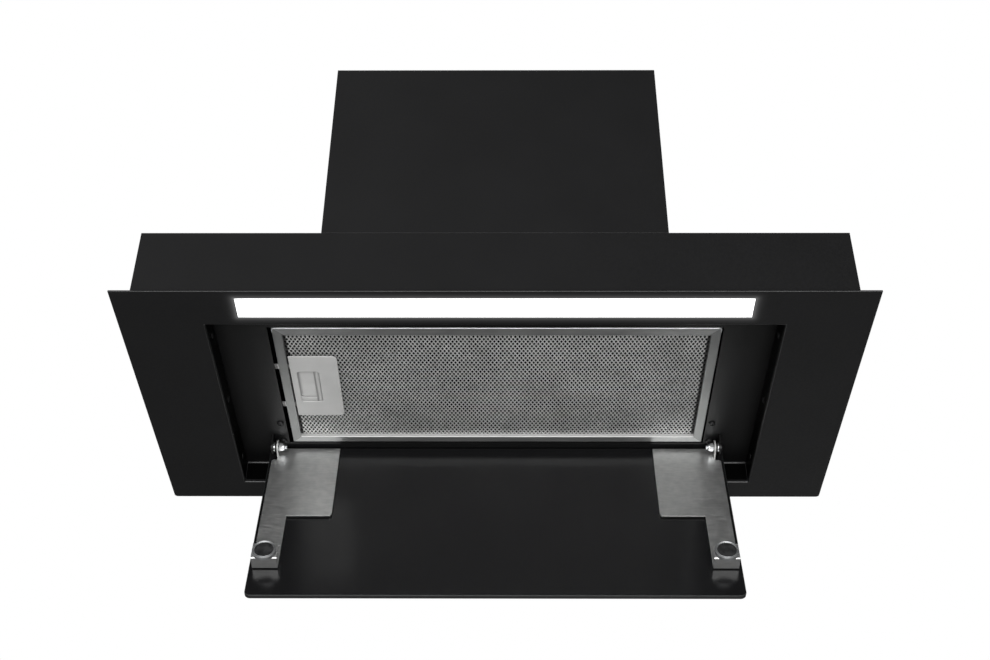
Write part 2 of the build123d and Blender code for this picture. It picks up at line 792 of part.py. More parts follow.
# Expanded metal sheet that fills the frame, with staggered diamond openings inside the lip
def make_mesh(name, under, pitch_x, pitch_y):
    open_width = frame_width - 2 * frame_lip
    open_depth = frame_depth - 2 * frame_lip
    columns = int(open_width / pitch_x)
    rows = int(open_depth / pitch_y)
    half_x = (pitch_x - mesh_web) / 2
    half_y = (pitch_y - mesh_web) / 2
    with BuildPart() as mesh:
        with BuildSketch(Plane.XY.offset(under)):
            with Locations((frame_mid_x, frame_mid_y)):
                Rectangle(
                    frame_width - 2 * (frame_sheet + mesh_play),
                    frame_depth - 2 * (frame_sheet + mesh_play),
                )
                with GridLocations(pitch_x, pitch_y, columns, rows):
                    Polygon((half_x, 0), (0, half_y), (-half_x, 0), (0, -half_y), mode=Mode.SUBTRACT)
                with GridLocations(pitch_x, pitch_y, columns - 1, rows - 1):
                    Polygon((half_x, 0), (0, half_y), (-half_x, 0), (0, -half_y), mode=Mode.SUBTRACT)
        extrude(amount=mesh_sheet)
    mesh.part.label = name
    export_step(mesh.part, f"parts/{name}.step")


front_mesh_z = deck_z + frame_return
rear_mesh_z = deck_z + frame_height - frame_sheet - mesh_sheet
make_mesh("filter_front_mesh", front_mesh_z, mesh_pitch_x, mesh_pitch_y)
make_mesh("filter_rear_mesh", rear_mesh_z, rear_mesh_scale * mesh_pitch_x, rear_mesh_scale * mesh_pitch_y)

# Foil layers between the two meshes
with BuildPart() as filter_core:
    with BuildSketch(Plane.XY.offset(front_mesh_z + mesh_sheet)):
        with Locations((frame_mid_x, frame_mid_y)):
            Rectangle(
                frame_width - 2 * (frame_sheet + mesh_play),
                frame_depth - 2 * (frame_sheet + mesh_play),
            )
    extrude(amount=rear_mesh_z - front_mesh_z - mesh_sheet)
filter_core.part.label = "filter_core"
export_step(filter_core.part, "parts/filter_core.step")

# Handle: shallow cover under the mesh, with the finger hole and slots for the latch tongues
handle_skin_z = deck_z + handle_rise
slider_top_z = front_mesh_z - slider_play
slider_left_x = handle_left_x + handle_wall + slider_from_wall
grip_hole_left_x = handle_left_x + grip_hole_from_left
with BuildPart() as filter_handle:
    with BuildSketch(Plane.XY.offset(handle_skin_z)) as handle_outline:
        with Locations((handle_left_x, handle_mid_y)):
            Rectangle(handle_width, handle_length, align=(Align.MIN, Align.CENTER))
        fillet(handle_outline.vertices().group_by(Axis.X)[-1], radius=handle_corner)
    extrude(amount=front_mesh_z - handle_skin_z)
    with BuildSketch(Plane.XY.offset(handle_skin_z + handle_skin)):
        with Locations((handle_left_x + handle_wall, handle_mid_y)):
            Rectangle(
                handle_width - 2 * handle_wall,
                handle_length - 2 * handle_wall,
                align=(Align.MIN, Align.CENTER),
            )
    extrude(amount=front_mesh_z - handle_skin_z, mode=Mode.SUBTRACT)
    with BuildSketch(Plane.XY.offset(handle_skin_z)):
        with Locations((grip_hole_left_x + grip_hole_width / 2, handle_mid_y)):
            RectangleRounded(grip_hole_width, grip_hole_length, grip_hole_corner)
    extrude(amount=handle_skin, mode=Mode.SUBTRACT)
    with BuildSketch(Plane.YZ.offset(handle_left_x)):
        with Locations((handle_mid_y, front_mesh_z)):
            with GridLocations(tongue_spread, 0, 2, 1):
                Rectangle(
                    tongue_width + 2 * frame_slot_play,
                    2 * (front_mesh_z - handle_skin_z - handle_skin),
                )
    extrude(amount=handle_wall, mode=Mode.SUBTRACT)
filter_handle.part.label = "filter_handle"
export_step(filter_handle.part, "parts/filter_handle.step")

# Latch slider: plate behind the finger hole, well for the fingertip, two tongues over the deck
with BuildPart() as latch_slider:
    with BuildSketch(Plane.XY.offset(slider_top_z)):
        with Locations((slider_left_x, handle_mid_y)):
            Rectangle(slider_width, slider_length, align=(Align.MIN, Align.CENTER))
    extrude(amount=-slider_thickness)
    with BuildSketch(Plane.XY.offset(slider_top_z - slider_thickness)):
        with Locations((slider_left_x + well_from_left, handle_mid_y - well_forward)):
            RectangleRounded(well_width, well_length, grip_hole_corner, align=(Align.MIN, Align.CENTER))
    extrude(amount=well_depth, mode=Mode.SUBTRACT)
    with BuildSketch(Plane.XY.offset(tongue_under_z)):
        with Locations((tongue_tip_x, handle_mid_y)):
            with GridLocations(0, tongue_spread, 1, 2):
                Rectangle(
                    slider_left_x + tongue_root - tongue_tip_x,
                    tongue_width,
                    align=(Align.MIN, Align.CENTER),
                )
    extrude(amount=tongue_thickness)
latch_slider.part.label = "latch_slider"
export_step(latch_slider.part, "parts/latch_slider.step")

# Latch spring: flat zigzag wire between the slider and the handle's right wall
spring_left_x = slider_left_x + slider_width + spring_gap
spring_right_x = handle_left_x + handle_width - handle_wall
spring_step = (spring_right_x - spring_left_x - spring_wire) / (2 * spring_waves)
with BuildPart() as latch_spring:
    with BuildSketch(Plane.XY.offset(slider_top_z)):
        with BuildLine():
            Polyline(
                *[
                    (
                        spring_left_x + spring_wire / 2 + step * spring_step,
                        handle_mid_y + (step % 2 - 0.5) * spring_width,
                    )
                    for step in range(2 * spring_waves + 1)
                ]
            )
            offset(amount=spring_wire / 2)
        make_face()
    extrude(amount=-spring_wire)
latch_spring.part.label = "latch_spring"
export_step(latch_spring.part, "parts/latch_spring.step")

# Blower layout: the fan axis lies along X, with the scroll's centres on a small square round it.
# The scroll's neck stands under the middle of the outlet collar.
scroll_half = volute_step / 2
scroll_centres = ((-scroll_half, -scroll_half), (scroll_half, -scroll_half), (scroll_half, scroll_half))
scroll_top = impeller_radius + volute_gap
scroll_radii = [scroll_top + scroll_half + turn * volute_step for turn in range(3)]
scroll_bottom = scroll_radii[1] + scroll_half
rim_top_z = body_top_z + body_sheet
fan_z = rim_top_z + volute_floor_gap + volute_wall + scroll_bottom
neck_top = lid_z - fan_z
neck_rear = scroll_radii[2] + scroll_half
fan_y = collar_y - (volute_neck_front + neck_rear) / 2
volute_inner_x = impeller_width / 2 + volute_side_gap
volute_outer_x = volute_inner_x + volute_wall


# A point of a plane square to the fan axis, at a distance from the axis and an angle in radians
def polar(distance, angle):
    return (distance * math.cos(angle), distance * math.sin(angle))


tongue_y, tongue_z = polar(scroll_radii[0], math.radians(volute_tongue_angle))
tongue_point = (tongue_y - scroll_half, tongue_z - scroll_half)

# Outline of the air space inside the scroll: three quarter arcs of growing radius, the neck and the tongue
with BuildSketch() as scroll:
    with BuildLine():
        first_arc = 180 - volute_tongue_angle
        CenterArc(scroll_centres[0], scroll_radii[0], volute_tongue_angle, first_arc)
        CenterArc(scroll_centres[1], scroll_radii[1], 180, 90)
        CenterArc(scroll_centres[2], scroll_radii[2], 270, 90)
        Polyline(
            (neck_rear, scroll_half),
            (neck_rear, neck_top),
            (volute_neck_front, neck_top),
            tongue_point,
        )
    make_face()
    fillet(scroll.vertices().sort_by_distance(tongue_point).first, radius=volute_tongue_radius)

with BuildSketch() as scroll_shell:
    offset(scroll.sketch, amount=volute_wall, kind=Kind.ARC)
    with Locations((neck_rear, neck_top)):
        Rectangle(4 * neck_rear, scroll_top, align=(Align.CENTER, Align.MIN), mode=Mode.SUBTRACT)


# Distance of a screw boss from the fan axis, so that it stands on the outside of the scroll's wall
def boss_distance(angle):
    quarter = 0 if angle < 180 else 1 if angle < 270 else 2
    centre = scroll_centres[quarter]
    along = centre[0] * math.cos(math.radians(angle)) + centre[1] * math.sin(math.radians(angle))
    across = centre[0] * math.sin(math.radians(angle)) - centre[1] * math.cos(math.radians(angle))
    return along + math.sqrt(scroll_radii[quarter] ** 2 - across**2) + boss_radius


boss_places = [polar(boss_distance(angle), math.radians(angle)) for angle in boss_angles]
carrier_angles = [carrier_first_angle + arm * 360 / carrier_arm_count for arm in range(carrier_arm_count)]
carrier_places = [polar(carrier_bolt_radius, math.radians(angle)) for angle in carrier_angles]

# Volute halves: scroll wall, side wall with the raised inlet ring, neck flange and screw bosses
for side, word in hinge_sides:
    fan_plane = Plane(origin=(0, fan_y, fan_z), x_dir=(0, 1, 0), z_dir=(1, 0, 0))
    side_plane = fan_plane.offset(side * volute_outer_x)
    with BuildPart() as volute:
        with BuildSketch(fan_plane):
            add(scroll_shell.sketch)
        extrude(amount=side * volute_outer_x)
        with BuildSketch(fan_plane):
            with Locations(((volute_neck_front + neck_rear) / 2, neck_top)):
                Rectangle(
                    neck_rear - volute_neck_front + 2 * volute_flange,
                    volute_wall,
                    align=(Align.CENTER, Align.MAX),
                )
        extrude(amount=side * (volute_inner_x + volute_flange))
        with BuildSketch(fan_plane):
            with Locations(*boss_places):
                Circle(boss_radius)
        extrude(amount=side * boss_length / 2)
        with BuildSketch(fan_plane):
            add(scroll.sketch)
        extrude(amount=side * volute_inner_x, mode=Mode.SUBTRACT)
        with BuildSketch(side_plane):
            Circle(inlet_radius + volute_wall)
        extrude(amount=side * inlet_lip_height)
        with BuildSketch(side_plane.offset(side * inlet_lip_height)):
            Circle(inlet_radius)
        extrude(amount=-side * (inlet_lip_height + volute_wall), mode=Mode.SUBTRACT)
    volute.part.label = f"volute_{word}"
    export_step(volute.part, f"parts/volute_{word}.step")

# Blower rails: angles along the two sides of the scroll, from the front rim to the rear rim
rail_length = motor_box_depth - 2 * (body_sheet + rail_end_gap)
rail_foot_mid_x = volute_outer_x + rail_foot / 2
for side, word in hinge_sides:
    with BuildPart() as blower_rail:
        with BuildSketch(Plane.XY.offset(rim_top_z)):
            with Locations((side * rail_foot_mid_x, box_mid_y)):
                Rectangle(rail_foot, rail_length)
        extrude(amount=rail_sheet)
        with BuildSketch(Plane.YZ.offset(side * volute_outer_x)):
            with Locations((box_mid_y, rim_top_z)):
                Rectangle(rail_length, rail_height, align=(Align.CENTER, Align.MIN))
            with Locations((fan_y, fan_z)):
                Circle(inlet_radius + 2 * volute_wall, mode=Mode.SUBTRACT)
        extrude(amount=side * rail_sheet)
    blower_rail.part.label = f"blower_rail_{word}"
    export_step(blower_rail.part, f"parts/blower_rail_{word}.step")

# Lid of the motor box, with the way from the scroll's neck to the outlet collar
with BuildPart() as motor_box_lid:
    with BuildSketch(Plane.XY.offset(lid_z)):
        with Locations((0, box_mid_y)):
            Rectangle(motor_box_width, motor_box_depth)
        with Locations((0, collar_y)):
            Rectangle(2 * volute_inner_x, neck_rear - volute_neck_front, mode=Mode.SUBTRACT)
    extrude(amount=body_sheet)
motor_box_lid.part.label = "motor_box_lid"
export_step(motor_box_lid.part, "parts/motor_box_lid.step")

# Impeller: centre disc, hub, two end rings and a ring of forward-curved blades
blade_half = blade_thickness / 2
blade_tip_angle = math.radians(blade_lean)
blade_bow_angle = blade_tip_angle * blade_belly_share
blade_belly_radius = (impeller_radius + impeller_inner_radius) / 2
blade_sides = [
    (
        (impeller_inner_radius, sign * blade_half),
        polar(blade_belly_radius, blade_bow_angle + sign * blade_half / blade_belly_radius),
        polar(impeller_radius - blade_half, blade_tip_angle + sign * blade_half / impeller_radius),
    )
    for sign in (-1, 1)
]
with BuildPart() as impeller:
    with BuildSketch(fan_plane.offset(-impeller_width / 2)):
        with PolarLocations(0, blade_count):
            with BuildLine():
                ThreePointArc(*blade_sides[0])
                Line(blade_sides[0][-1], blade_sides[1][-1])
                ThreePointArc(*blade_sides[1])
                Line(blade_sides[0][0], blade_sides[1][0])
            make_face()
    extrude(amount=impeller_width)
    with BuildSketch(fan_plane.offset(-impeller_disc / 2)):
        Circle(impeller_radius - blade_thickness)
    extrude(amount=impeller_disc)
    with BuildSketch(fan_plane.offset(-impeller_hub_length / 2)):
        Circle(impeller_hub_radius)
    extrude(amount=impeller_hub_length)
    for end in (-1, 1):
        with BuildSketch(fan_plane.offset(end * impeller_width / 2)):
            Circle(impeller_radius)
            Circle(impeller_radius - impeller_ring_width, mode=Mode.SUBTRACT)
        extrude(amount=-end * impeller_ring)
    with BuildSketch(fan_plane.offset(-impeller_hub_length / 2)):
        Circle(shaft_radius + shaft_clearance)
    extrude(amount=impeller_hub_length, mode=Mode.SUBTRACT)
impeller.part.label = "impeller"
export_step(impeller.part, "parts/impeller.step")

# Motor shaft and the nut that holds the impeller on it
shaft_left_x = -impeller_hub_length / 2 - shaft_nut_length - shaft_beyond_nut
shaft_right_x = motor_from_disc + motor_bore_depth - shaft_beyond_nut
with BuildPart() as motor_shaft:
    with BuildSketch(fan_plane.offset(shaft_left_x)):
        Circle(shaft_radius)
    extrude(amount=shaft_right_x - shaft_left_x)
motor_shaft.part.label = "motor_shaft"
export_step(motor_shaft.part, "parts/motor_shaft.step")

with BuildPart() as shaft_nut:
    with BuildSketch(fan_plane.offset(-impeller_hub_length / 2)):
        RegularPolygon(shaft_nut_flats / 2, 6, major_radius=False)
        Circle(shaft_radius + shaft_clearance, mode=Mode.SUBTRACT)
    extrude(amount=-shaft_nut_length)
shaft_nut.part.label = "shaft_nut"
export_step(shaft_nut.part, "parts/shaft_nut.step")

# Fan motor: ribbed can with a blind bearing bore towards the impeller and a rear boss
motor_end_x = motor_from_disc + motor_length
with BuildPart() as fan_motor:
    with BuildSketch(fan_plane.offset(motor_from_disc)):
        Circle(motor_radius - motor_rib_height)
        with PolarLocations(motor_radius - motor_rib_height, motor_rib_count):
            Rectangle(2 * motor_rib_height, motor_rib_width)
    extrude(amount=motor_length)
    with BuildSketch(fan_plane.offset(motor_end_x)):
        Circle(motor_boss_radius)
    extrude(amount=motor_boss_length)
    with BuildSketch(fan_plane.offset(motor_from_disc)):
        Circle(shaft_radius + shaft_clearance)
    extrude(amount=motor_bore_depth, mode=Mode.SUBTRACT)
fan_motor.part.label = "fan_motor"
export_step(fan_motor.part, "parts/fan_motor.step")

# Motor carrier: ring on the motor's end with three arms out to the rubber bushes
carrier_inner = motor_radius - motor_rib_height - carrier_ring_width
with BuildPart() as motor_carrier:
    with BuildSketch(fan_plane.offset(motor_end_x)):
        Circle(motor_radius)
        for place, angle in zip(carrier_places, carrier_angles):
            with Locations(place):
                Circle(carrier_pad_radius)
            with Locations((place[0] / 2, place[1] / 2)):
                Rectangle(carrier_bolt_radius, carrier_arm_width, rotation=angle)
        Circle(carrier_inner, mode=Mode.SUBTRACT)
    extrude(amount=carrier_thickness)
motor_carrier.part.label = "motor_carrier"
export_step(motor_carrier.part, "parts/motor_carrier.step")

with BuildPart() as motor_bushes:
    with BuildSketch(side_plane):
        with Locations(*carrier_places):
            Circle(bush_radius)
    extrude(amount=motor_end_x - volute_outer_x)
motor_bushes.part.label = "motor_bushes"
export_step(motor_bushes.part, "parts/motor_bushes.step")

# Outlet collar: square foot, round spigot, stop ledge for the dampers and blind sockets for their pin
foot_top = box_top_z + collar_base_thickness
damper_z = foot_top + damper_pin_height
ledge_top = damper_z - damper_thickness / 2 - ledge_gap
collar_centre = (0, collar_y)
pin_end_x = collar_radius - collar_wall / 2
with BuildPart() as outlet_collar:
    with BuildSketch(Plane.XY.offset(box_top_z)):
        with Locations(collar_centre):
            RectangleRounded(collar_base, collar_base, collar_base_corner)
    extrude(amount=collar_base_thickness)
    with BuildSketch(Plane.XY.offset(box_top_z)):
        with Locations(collar_centre):
            Circle(collar_radius)
    extrude(amount=collar_height)
    with BuildSketch(Plane.XY.offset(box_top_z)):
        with Locations(collar_centre):
            Circle(bore_radius)
    extrude(amount=collar_height, mode=Mode.SUBTRACT)
    with BuildSketch(Plane.XY.offset(ledge_top)):
        with Locations(collar_centre):
            Circle(bore_radius)
            Circle(bore_radius - ledge_width, mode=Mode.SUBTRACT)
    extrude(amount=-ledge_height)
    with BuildSketch(Plane.YZ.offset(-pin_end_x)):
        with Locations((collar_y, damper_z)):
            Circle(damper_pin_radius + pin_clearance)
    extrude(amount=2 * pin_end_x, mode=Mode.SUBTRACT)
outlet_collar.part.label = "outlet_collar"
export_step(outlet_collar.part, "parts/outlet_collar.step")

damper_plane = Plane(origin=(0, collar_y, damper_z), x_dir=(0, 1, 0), z_dir=(1, 0, 0))
with BuildPart() as damper_pin:
    with BuildSketch(damper_plane.offset(-pin_end_x)):
        Circle(damper_pin_radius)
    extrude(amount=2 * pin_end_x)
damper_pin.part.label = "damper_pin"
export_step(damper_pin.part, "parts/damper_pin.step")

# Dampers: two half discs on the pin, with knuckles that take turns along it
damper_radius = bore_radius - damper_clearance
knuckle_row = 2 * (bore_radius - damper_end_gap)
knuckle_pitch = (knuckle_row + damper_knuckle_gap) / damper_knuckles
knuckle_length = knuckle_pitch - damper_knuckle_gap
knuckle_starts = [-knuckle_row / 2 + place * knuckle_pitch for place in range(damper_knuckles)]
for side, word, first in ((-1, "front", 0), (1, "rear", 1)):
    own_starts = knuckle_starts[first::2]
    other_starts = knuckle_starts[1 - first::2]
    notch_reach = damper_knuckle_radius + damper_notch
    with BuildPart() as damper:
        with BuildSketch(Plane.XY.offset(damper_z - damper_thickness / 2)):
            with Locations(collar_centre):
                Circle(damper_radius)
                Rectangle(
                    2 * collar_radius,
                    2 * collar_radius,
                    align=(Align.CENTER, Align.MAX if side > 0 else Align.MIN),
                    mode=Mode.SUBTRACT,
                )
                Rectangle(2 * collar_radius, 2 * damper_edge_gap, mode=Mode.SUBTRACT)
            for start in other_starts:
                with Locations((start + knuckle_length / 2, collar_y)):
                    Rectangle(knuckle_length + 2 * damper_notch, 2 * notch_reach, mode=Mode.SUBTRACT)
        extrude(amount=damper_thickness)
        for start in own_starts:
            with BuildSketch(damper_plane.offset(start)):
                Circle(damper_knuckle_radius)
            extrude(amount=knuckle_length)
        with BuildSketch(damper_plane.offset(-collar_radius)):
            Circle(damper_pin_radius + pin_clearance)
        extrude(amount=2 * collar_radius, mode=Mode.SUBTRACT)
    damper.part.label = f"damper_{word}"
    export_step(damper.part, f"parts/damper_{word}.step")

# Control box on the left of the deck: tray with two ribs, circuit board and lid
control_left_x = -deck_x + control_from_edge
control_mid_x = control_left_x + control_width / 2
control_mid_y = opening_front_y + control_from_front + control_length / 2
control_lid_z = deck_top_z + control_height
board_z = deck_top_z + control_wall + board_rib_height
with BuildPart() as control_box:
    with BuildSketch(Plane.XY.offset(deck_top_z)):
        with Locations((control_mid_x, control_mid_y)):
            Rectangle(control_width, control_length)
    extrude(amount=control_height)
    with BuildSketch(Plane.XY.offset(deck_top_z + control_wall)):
        with Locations((control_mid_x, control_mid_y)):
            Rectangle(control_width - 2 * control_wall, control_length - 2 * control_wall)
    extrude(amount=control_height, mode=Mode.SUBTRACT)
    with BuildSketch(Plane.XY.offset(deck_top_z + control_wall)):
        with Locations((control_mid_x, control_mid_y)):
            with GridLocations(0, control_length / 2, 1, 2):
                Rectangle(control_width - 2 * control_wall, board_rib_width)
    extrude(amount=board_rib_height)
control_box.part.label = "control_box"
export_step(control_box.part, "parts/control_box.step")

with BuildPart() as control_lid:
    with BuildSketch(Plane.XY.offset(control_lid_z)):
        with Locations((control_mid_x, control_mid_y)):
            RectangleRounded(control_width, control_length, control_wall)
    extrude(amount=control_wall)
control_lid.part.label = "control_lid"
export_step(control_lid.part, "parts/control_lid.step")

with BuildPart() as control_board:
    with BuildSketch(Plane.XY.offset(board_z)):
        with Locations((control_mid_x, control_mid_y)):
            Rectangle(
                control_width - 2 * (control_wall + board_margin),
                control_length - 2 * (control_wall + board_margin),
            )
    extrude(amount=board_thickness)
    with BuildSketch(Plane.XY.offset(board_z + board_thickness)):
        with Locations((control_mid_x, control_mid_y)):
            with GridLocations(0, 1.5 * relay_length, 1, 3):
                Rectangle(relay_width, relay_length)
    extrude(amount=relay_height)
control_board.part.label = "control_board"
export_step(control_board.part, "parts/control_board.step")

# Light driver on the right of the deck
driver_mid_x = deck_x - control_from_edge - driver_width / 2
driver_mid_y = opening_front_y + driver_from_front + driver_length / 2
with BuildPart() as light_driver:
    with BuildSketch(Plane.XY.offset(deck_top_z)):
        with Locations((driver_mid_x, driver_mid_y)):
            RectangleRounded(driver_width, driver_length, driver_corner)
    extrude(amount=driver_height)
light_driver.part.label = "light_driver"
export_step(light_driver.part, "parts/light_driver.step")

# Run capacitor on the right wall of the motor box, in its clip
capacitor_x = box_x - body_sheet - capacitor_from_wall - capacitor_radius
capacitor_place = (capacitor_x, box_front_y + capacitor_from_front)
capacitor_z = rim_top_z + capacitor_height
with BuildPart() as capacitor:
    with BuildSketch(Plane.XY.offset(capacitor_z)):
        with Locations(capacitor_place):
            Circle(capacitor_radius)
    extrude(amount=capacitor_length)
    with BuildSketch(Plane.XY.offset(capacitor_z)):
        with Locations(capacitor_place):
            with GridLocations(capacitor_radius, 0, 2, 1):
                Rectangle(clip_sheet, capacitor_pin)
    extrude(amount=-capacitor_pin)
capacitor.part.label = "capacitor"
export_step(capacitor.part, "parts/capacitor.step")

with BuildPart() as capacitor_clip:
    with BuildSketch(Plane.XY.offset(capacitor_z + (capacitor_length - clip_height) / 2)):
        with Locations(capacitor_place):
            Circle(capacitor_radius + clip_play + clip_sheet)
            Rectangle(
                capacitor_radius + capacitor_from_wall,
                capacitor_radius,
                align=(Align.MIN, Align.CENTER),
            )
            Circle(capacitor_radius + clip_play, mode=Mode.SUBTRACT)
    extrude(amount=clip_height)
capacitor_clip.part.label = "capacitor_clip"
export_step(capacitor_clip.part, "parts/capacitor_clip.step")

# Gland for the supply lead in the body's roof, and its lock nut under the sheet
gland_plane = Plane(origin=(gland_x, gland_y, body_top_z))
with BuildPart() as cable_gland:
    with BuildSketch(gland_plane.offset(-body_sheet - gland_thread_length)):
        Circle(gland_thread_radius)
    extrude(amount=body_sheet + gland_thread_length)
    with BuildSketch(gland_plane):
        RegularPolygon(gland_nut_flats / 2, 6, major_radius=False)
    extrude(amount=gland_nut_length)
    with BuildSketch(gland_plane.offset(gland_nut_length)):
        Circle(gland_dome_radius)
    extrude(amount=gland_dome)
    with BuildSketch(gland_plane.offset(gland_nut_length + gland_dome)):
        Circle(gland_bore)
    extrude(amount=-(gland_nut_length + gland_dome + body_sheet + gland_thread_length), mode=Mode.SUBTRACT)
cable_gland.part.label = "cable_gland"
export_step(cable_gland.part, "parts/cable_gland.step")

with BuildPart() as gland_nut:
    with BuildSketch(gland_plane.offset(-body_sheet)):
        RegularPolygon(gland_nut_flats / 2, 6, major_radius=False)
        Circle(gland_thread_radius + pin_clearance, mode=Mode.SUBTRACT)
    extrude(amount=-gland_nut_length)
gland_nut.part.label = "gland_nut"
export_step(gland_nut.part, "parts/gland_nut.step")
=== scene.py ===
import json
import math

import bmesh
import bpy
import numpy as np
from mathutils import Matrix, Vector


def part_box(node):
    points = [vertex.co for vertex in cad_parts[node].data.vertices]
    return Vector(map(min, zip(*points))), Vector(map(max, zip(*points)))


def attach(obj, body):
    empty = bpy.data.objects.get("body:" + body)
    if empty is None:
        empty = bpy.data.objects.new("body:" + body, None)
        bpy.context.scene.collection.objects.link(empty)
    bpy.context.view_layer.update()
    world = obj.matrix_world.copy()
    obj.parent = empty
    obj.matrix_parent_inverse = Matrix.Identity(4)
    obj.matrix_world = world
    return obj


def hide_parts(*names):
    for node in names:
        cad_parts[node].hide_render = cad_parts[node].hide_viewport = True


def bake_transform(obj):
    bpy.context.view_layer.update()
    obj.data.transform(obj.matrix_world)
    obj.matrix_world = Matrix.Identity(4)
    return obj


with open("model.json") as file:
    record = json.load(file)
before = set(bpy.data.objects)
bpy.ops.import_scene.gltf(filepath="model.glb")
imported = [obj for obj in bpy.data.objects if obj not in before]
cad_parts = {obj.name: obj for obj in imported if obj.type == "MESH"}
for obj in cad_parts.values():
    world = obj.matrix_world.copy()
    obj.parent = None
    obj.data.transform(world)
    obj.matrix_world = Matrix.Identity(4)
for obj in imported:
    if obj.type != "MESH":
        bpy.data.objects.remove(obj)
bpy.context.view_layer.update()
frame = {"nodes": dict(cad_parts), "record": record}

# A built-in range hood, seen from below with its glass flap hanging open.
# Values in the dictionaries are millimetres and degrees unless their name says otherwise.
mm = 0.001
print("frame loaded:", len(frame["nodes"]), "nodes")


# Lowest and highest corner of a node, in millimetres
def boxOf(node):
    return [np.array(corner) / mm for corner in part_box(node)]


def middle(node):
    return sum(boxOf(node)) / 2


# One property of a mesh's vertices or faces, as rows of three
def rowsOf(items, key):
    rows = np.zeros(len(items) * 3)
    items.foreach_get(key, rows)
    return rows.reshape(-1, 3)


# Points of a node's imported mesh, in millimetres
def pointsOf(node):
    return rowsOf(frame["nodes"][node].data.vertices, "co") / mm


# sRGB hex to linear: c / 12.92 up to 0.04045, and ((c + 0.055) / 1.055) ^ 2.4 above it
def linearColour(hexText):
    channels = [int(hexText[place:place + 2], 16) / 255 for place in (0, 2, 4)]
    return tuple(c / 12.92 if c <= 0.04045 else ((c + 0.055) / 1.055) ** 2.4 for c in channels) + (1.0,)


# Adds a node, with its settings as keywords. Inputs come in socket order or in a dictionary, as numbers, colours,
# sockets or nodes, and a node gives its first output.
def addNode(tree, kind, inputs=(), **settings):
    node = tree.nodes.new("ShaderNode" + kind)
    for key, value in settings.items():
        setattr(node, key, value)
    for socket, value in inputs.items() if isinstance(inputs, dict) else enumerate(inputs):
        if isinstance(value, bpy.types.Node):
            value = value.outputs[0]
        if isinstance(value, bpy.types.NodeSocket):
            tree.links.new(value, node.inputs[socket])
        else:
            node.inputs[socket].default_value = value
    return node


# An empty material with its shader's even values set; look maps socket names to numbers or colours
def startMaterial(name, look):
    material = bpy.data.materials.new(name)
    material.use_nodes = True
    tree = material.node_tree
    shader = tree.nodes["Principled BSDF"]
    for socket, value in look.items():
        shader.inputs[socket].default_value = value
    return material, tree, shader, addNode(tree, "TexCoord").outputs["Object"]


# Mixes a colour over what the shader's base colour reads so far
def tintBase(tree, shader, factor, hexText):
    base = shader.inputs["Base Color"].links[0].from_socket
    both = addNode(tree, "Mix", {0: factor, 6: base, 7: linearColour(hexText)}, data_type="RGBA")
    tree.links.new(both.outputs[2], shader.inputs["Base Color"])


# Most of a noise texture's values lie in noiseSpan. A surface's tone is a sum of two noises, and its colour goes
# from dark to light while the sum runs over toneEnds.
noiseSpan = (0.3, 0.7)
grainMix = {"grainShare": 0.5, "grainDetail": 3.0, "cloudDetail": 2.0, "toneEnds": (0.55, 0.95), "bump": 0.5}
brushMix = {"brushDetail": 4.0, "toneEnds": (0.75, 1.25), "bump": 0.4}


# Colour by the tone, roughness and bump by the pattern
def finishShader(tree, shader, finish, pattern, tone, mixing):
    tone = addNode(tree, "MapRange", (tone, *mixing["toneEnds"], 0.0, 1.0))
    ends = {0: tone, 6: linearColour(finish["dark"]), 7: linearColour(finish["light"])}
    tree.links.new(addNode(tree, "Mix", ends, data_type="RGBA").outputs[2], shader.inputs["Base Color"])
    roughness = addNode(tree, "MapRange", (pattern, *noiseSpan, *finish["roughness"]))
    tree.links.new(roughness.outputs[0], shader.inputs["Roughness"])
    bump = addNode(tree, "Bump", {"Height": pattern, "Distance": finish["bumpMm"] * mm, "Strength": mixing["bump"]})
    tree.links.new(bump.outputs[0], shader.inputs["Normal"])


# Coated, moulded and cast surfaces: grain gives bump and roughness, clouds give a slow change of tone
def makeGrained(name, finish):
    look = {"Metallic": finish.get("metallic", 0.0), "Specular IOR Level": finish.get("specular", 0.5)}
    material, tree, shader, place = startMaterial(name, look)
    grain, cloud = (addNode(tree, "TexNoise", {"Vector": place, "Scale": 1 / (finish[kind + "Mm"] * mm),
                                               "Detail": grainMix[kind + "Detail"]}) for kind in ("grain", "cloud"))
    tone = addNode(tree, "Math", (grain, grainMix["grainShare"], cloud), operation="MULTIPLY_ADD")
    finishShader(tree, shader, finish, grain, tone, grainMix)
    return material, tree, shader, place


# Brush marks with clouds for handling marks
def brushShader(tree, shader, place, finish, brush):
    cloud = addNode(tree, "TexNoise", {"Vector": place, "Scale": 1 / (finish["cloudMm"] * mm)})
    tone = addNode(tree, "Math", (brush, cloud), operation="ADD")
    finishShader(tree, shader, finish, brush, tone, brushMix)


# Brushed metal: noise drawn out along one axis. The marks are coarser than the real 0.1 mm ones, so that they show.
def makeBrushed(name, finish):
    material, tree, shader, place = startMaterial(name, {"Metallic": 1.0})
    marks = addNode(tree, "Mapping", {"Vector": place, "Scale": finish["marksPerMetre"]})
    brush = addNode(tree, "TexNoise", {"Vector": marks, "Scale": 1.0, "Detail": brushMix["brushDetail"]})
    brushShader(tree, shader, place, finish, brush)
    return material, tree, shader, place


# How far a coordinate lies outside a span: the distance from its centre, less half its length
def beyondSpan(tree, coordinate, centre, half):
    away = addNode(tree, "Math", (coordinate, centre), operation="SUBTRACT")
    away = addNode(tree, "Math", (away,), operation="ABSOLUTE")
    return addNode(tree, "Math", (away, half), operation="SUBTRACT")


# Satin black powder coat on steel: nearly black, soft sheen, a fine orange-peel grain that breaks highlights up
powderCoat = {"dark": "09090a", "light": "0d0d0e", "grainMm": 1.6, "cloudMm": 70.0, "bumpMm": 0.05,
              "roughness": (0.46, 0.58), "specular": 0.28}
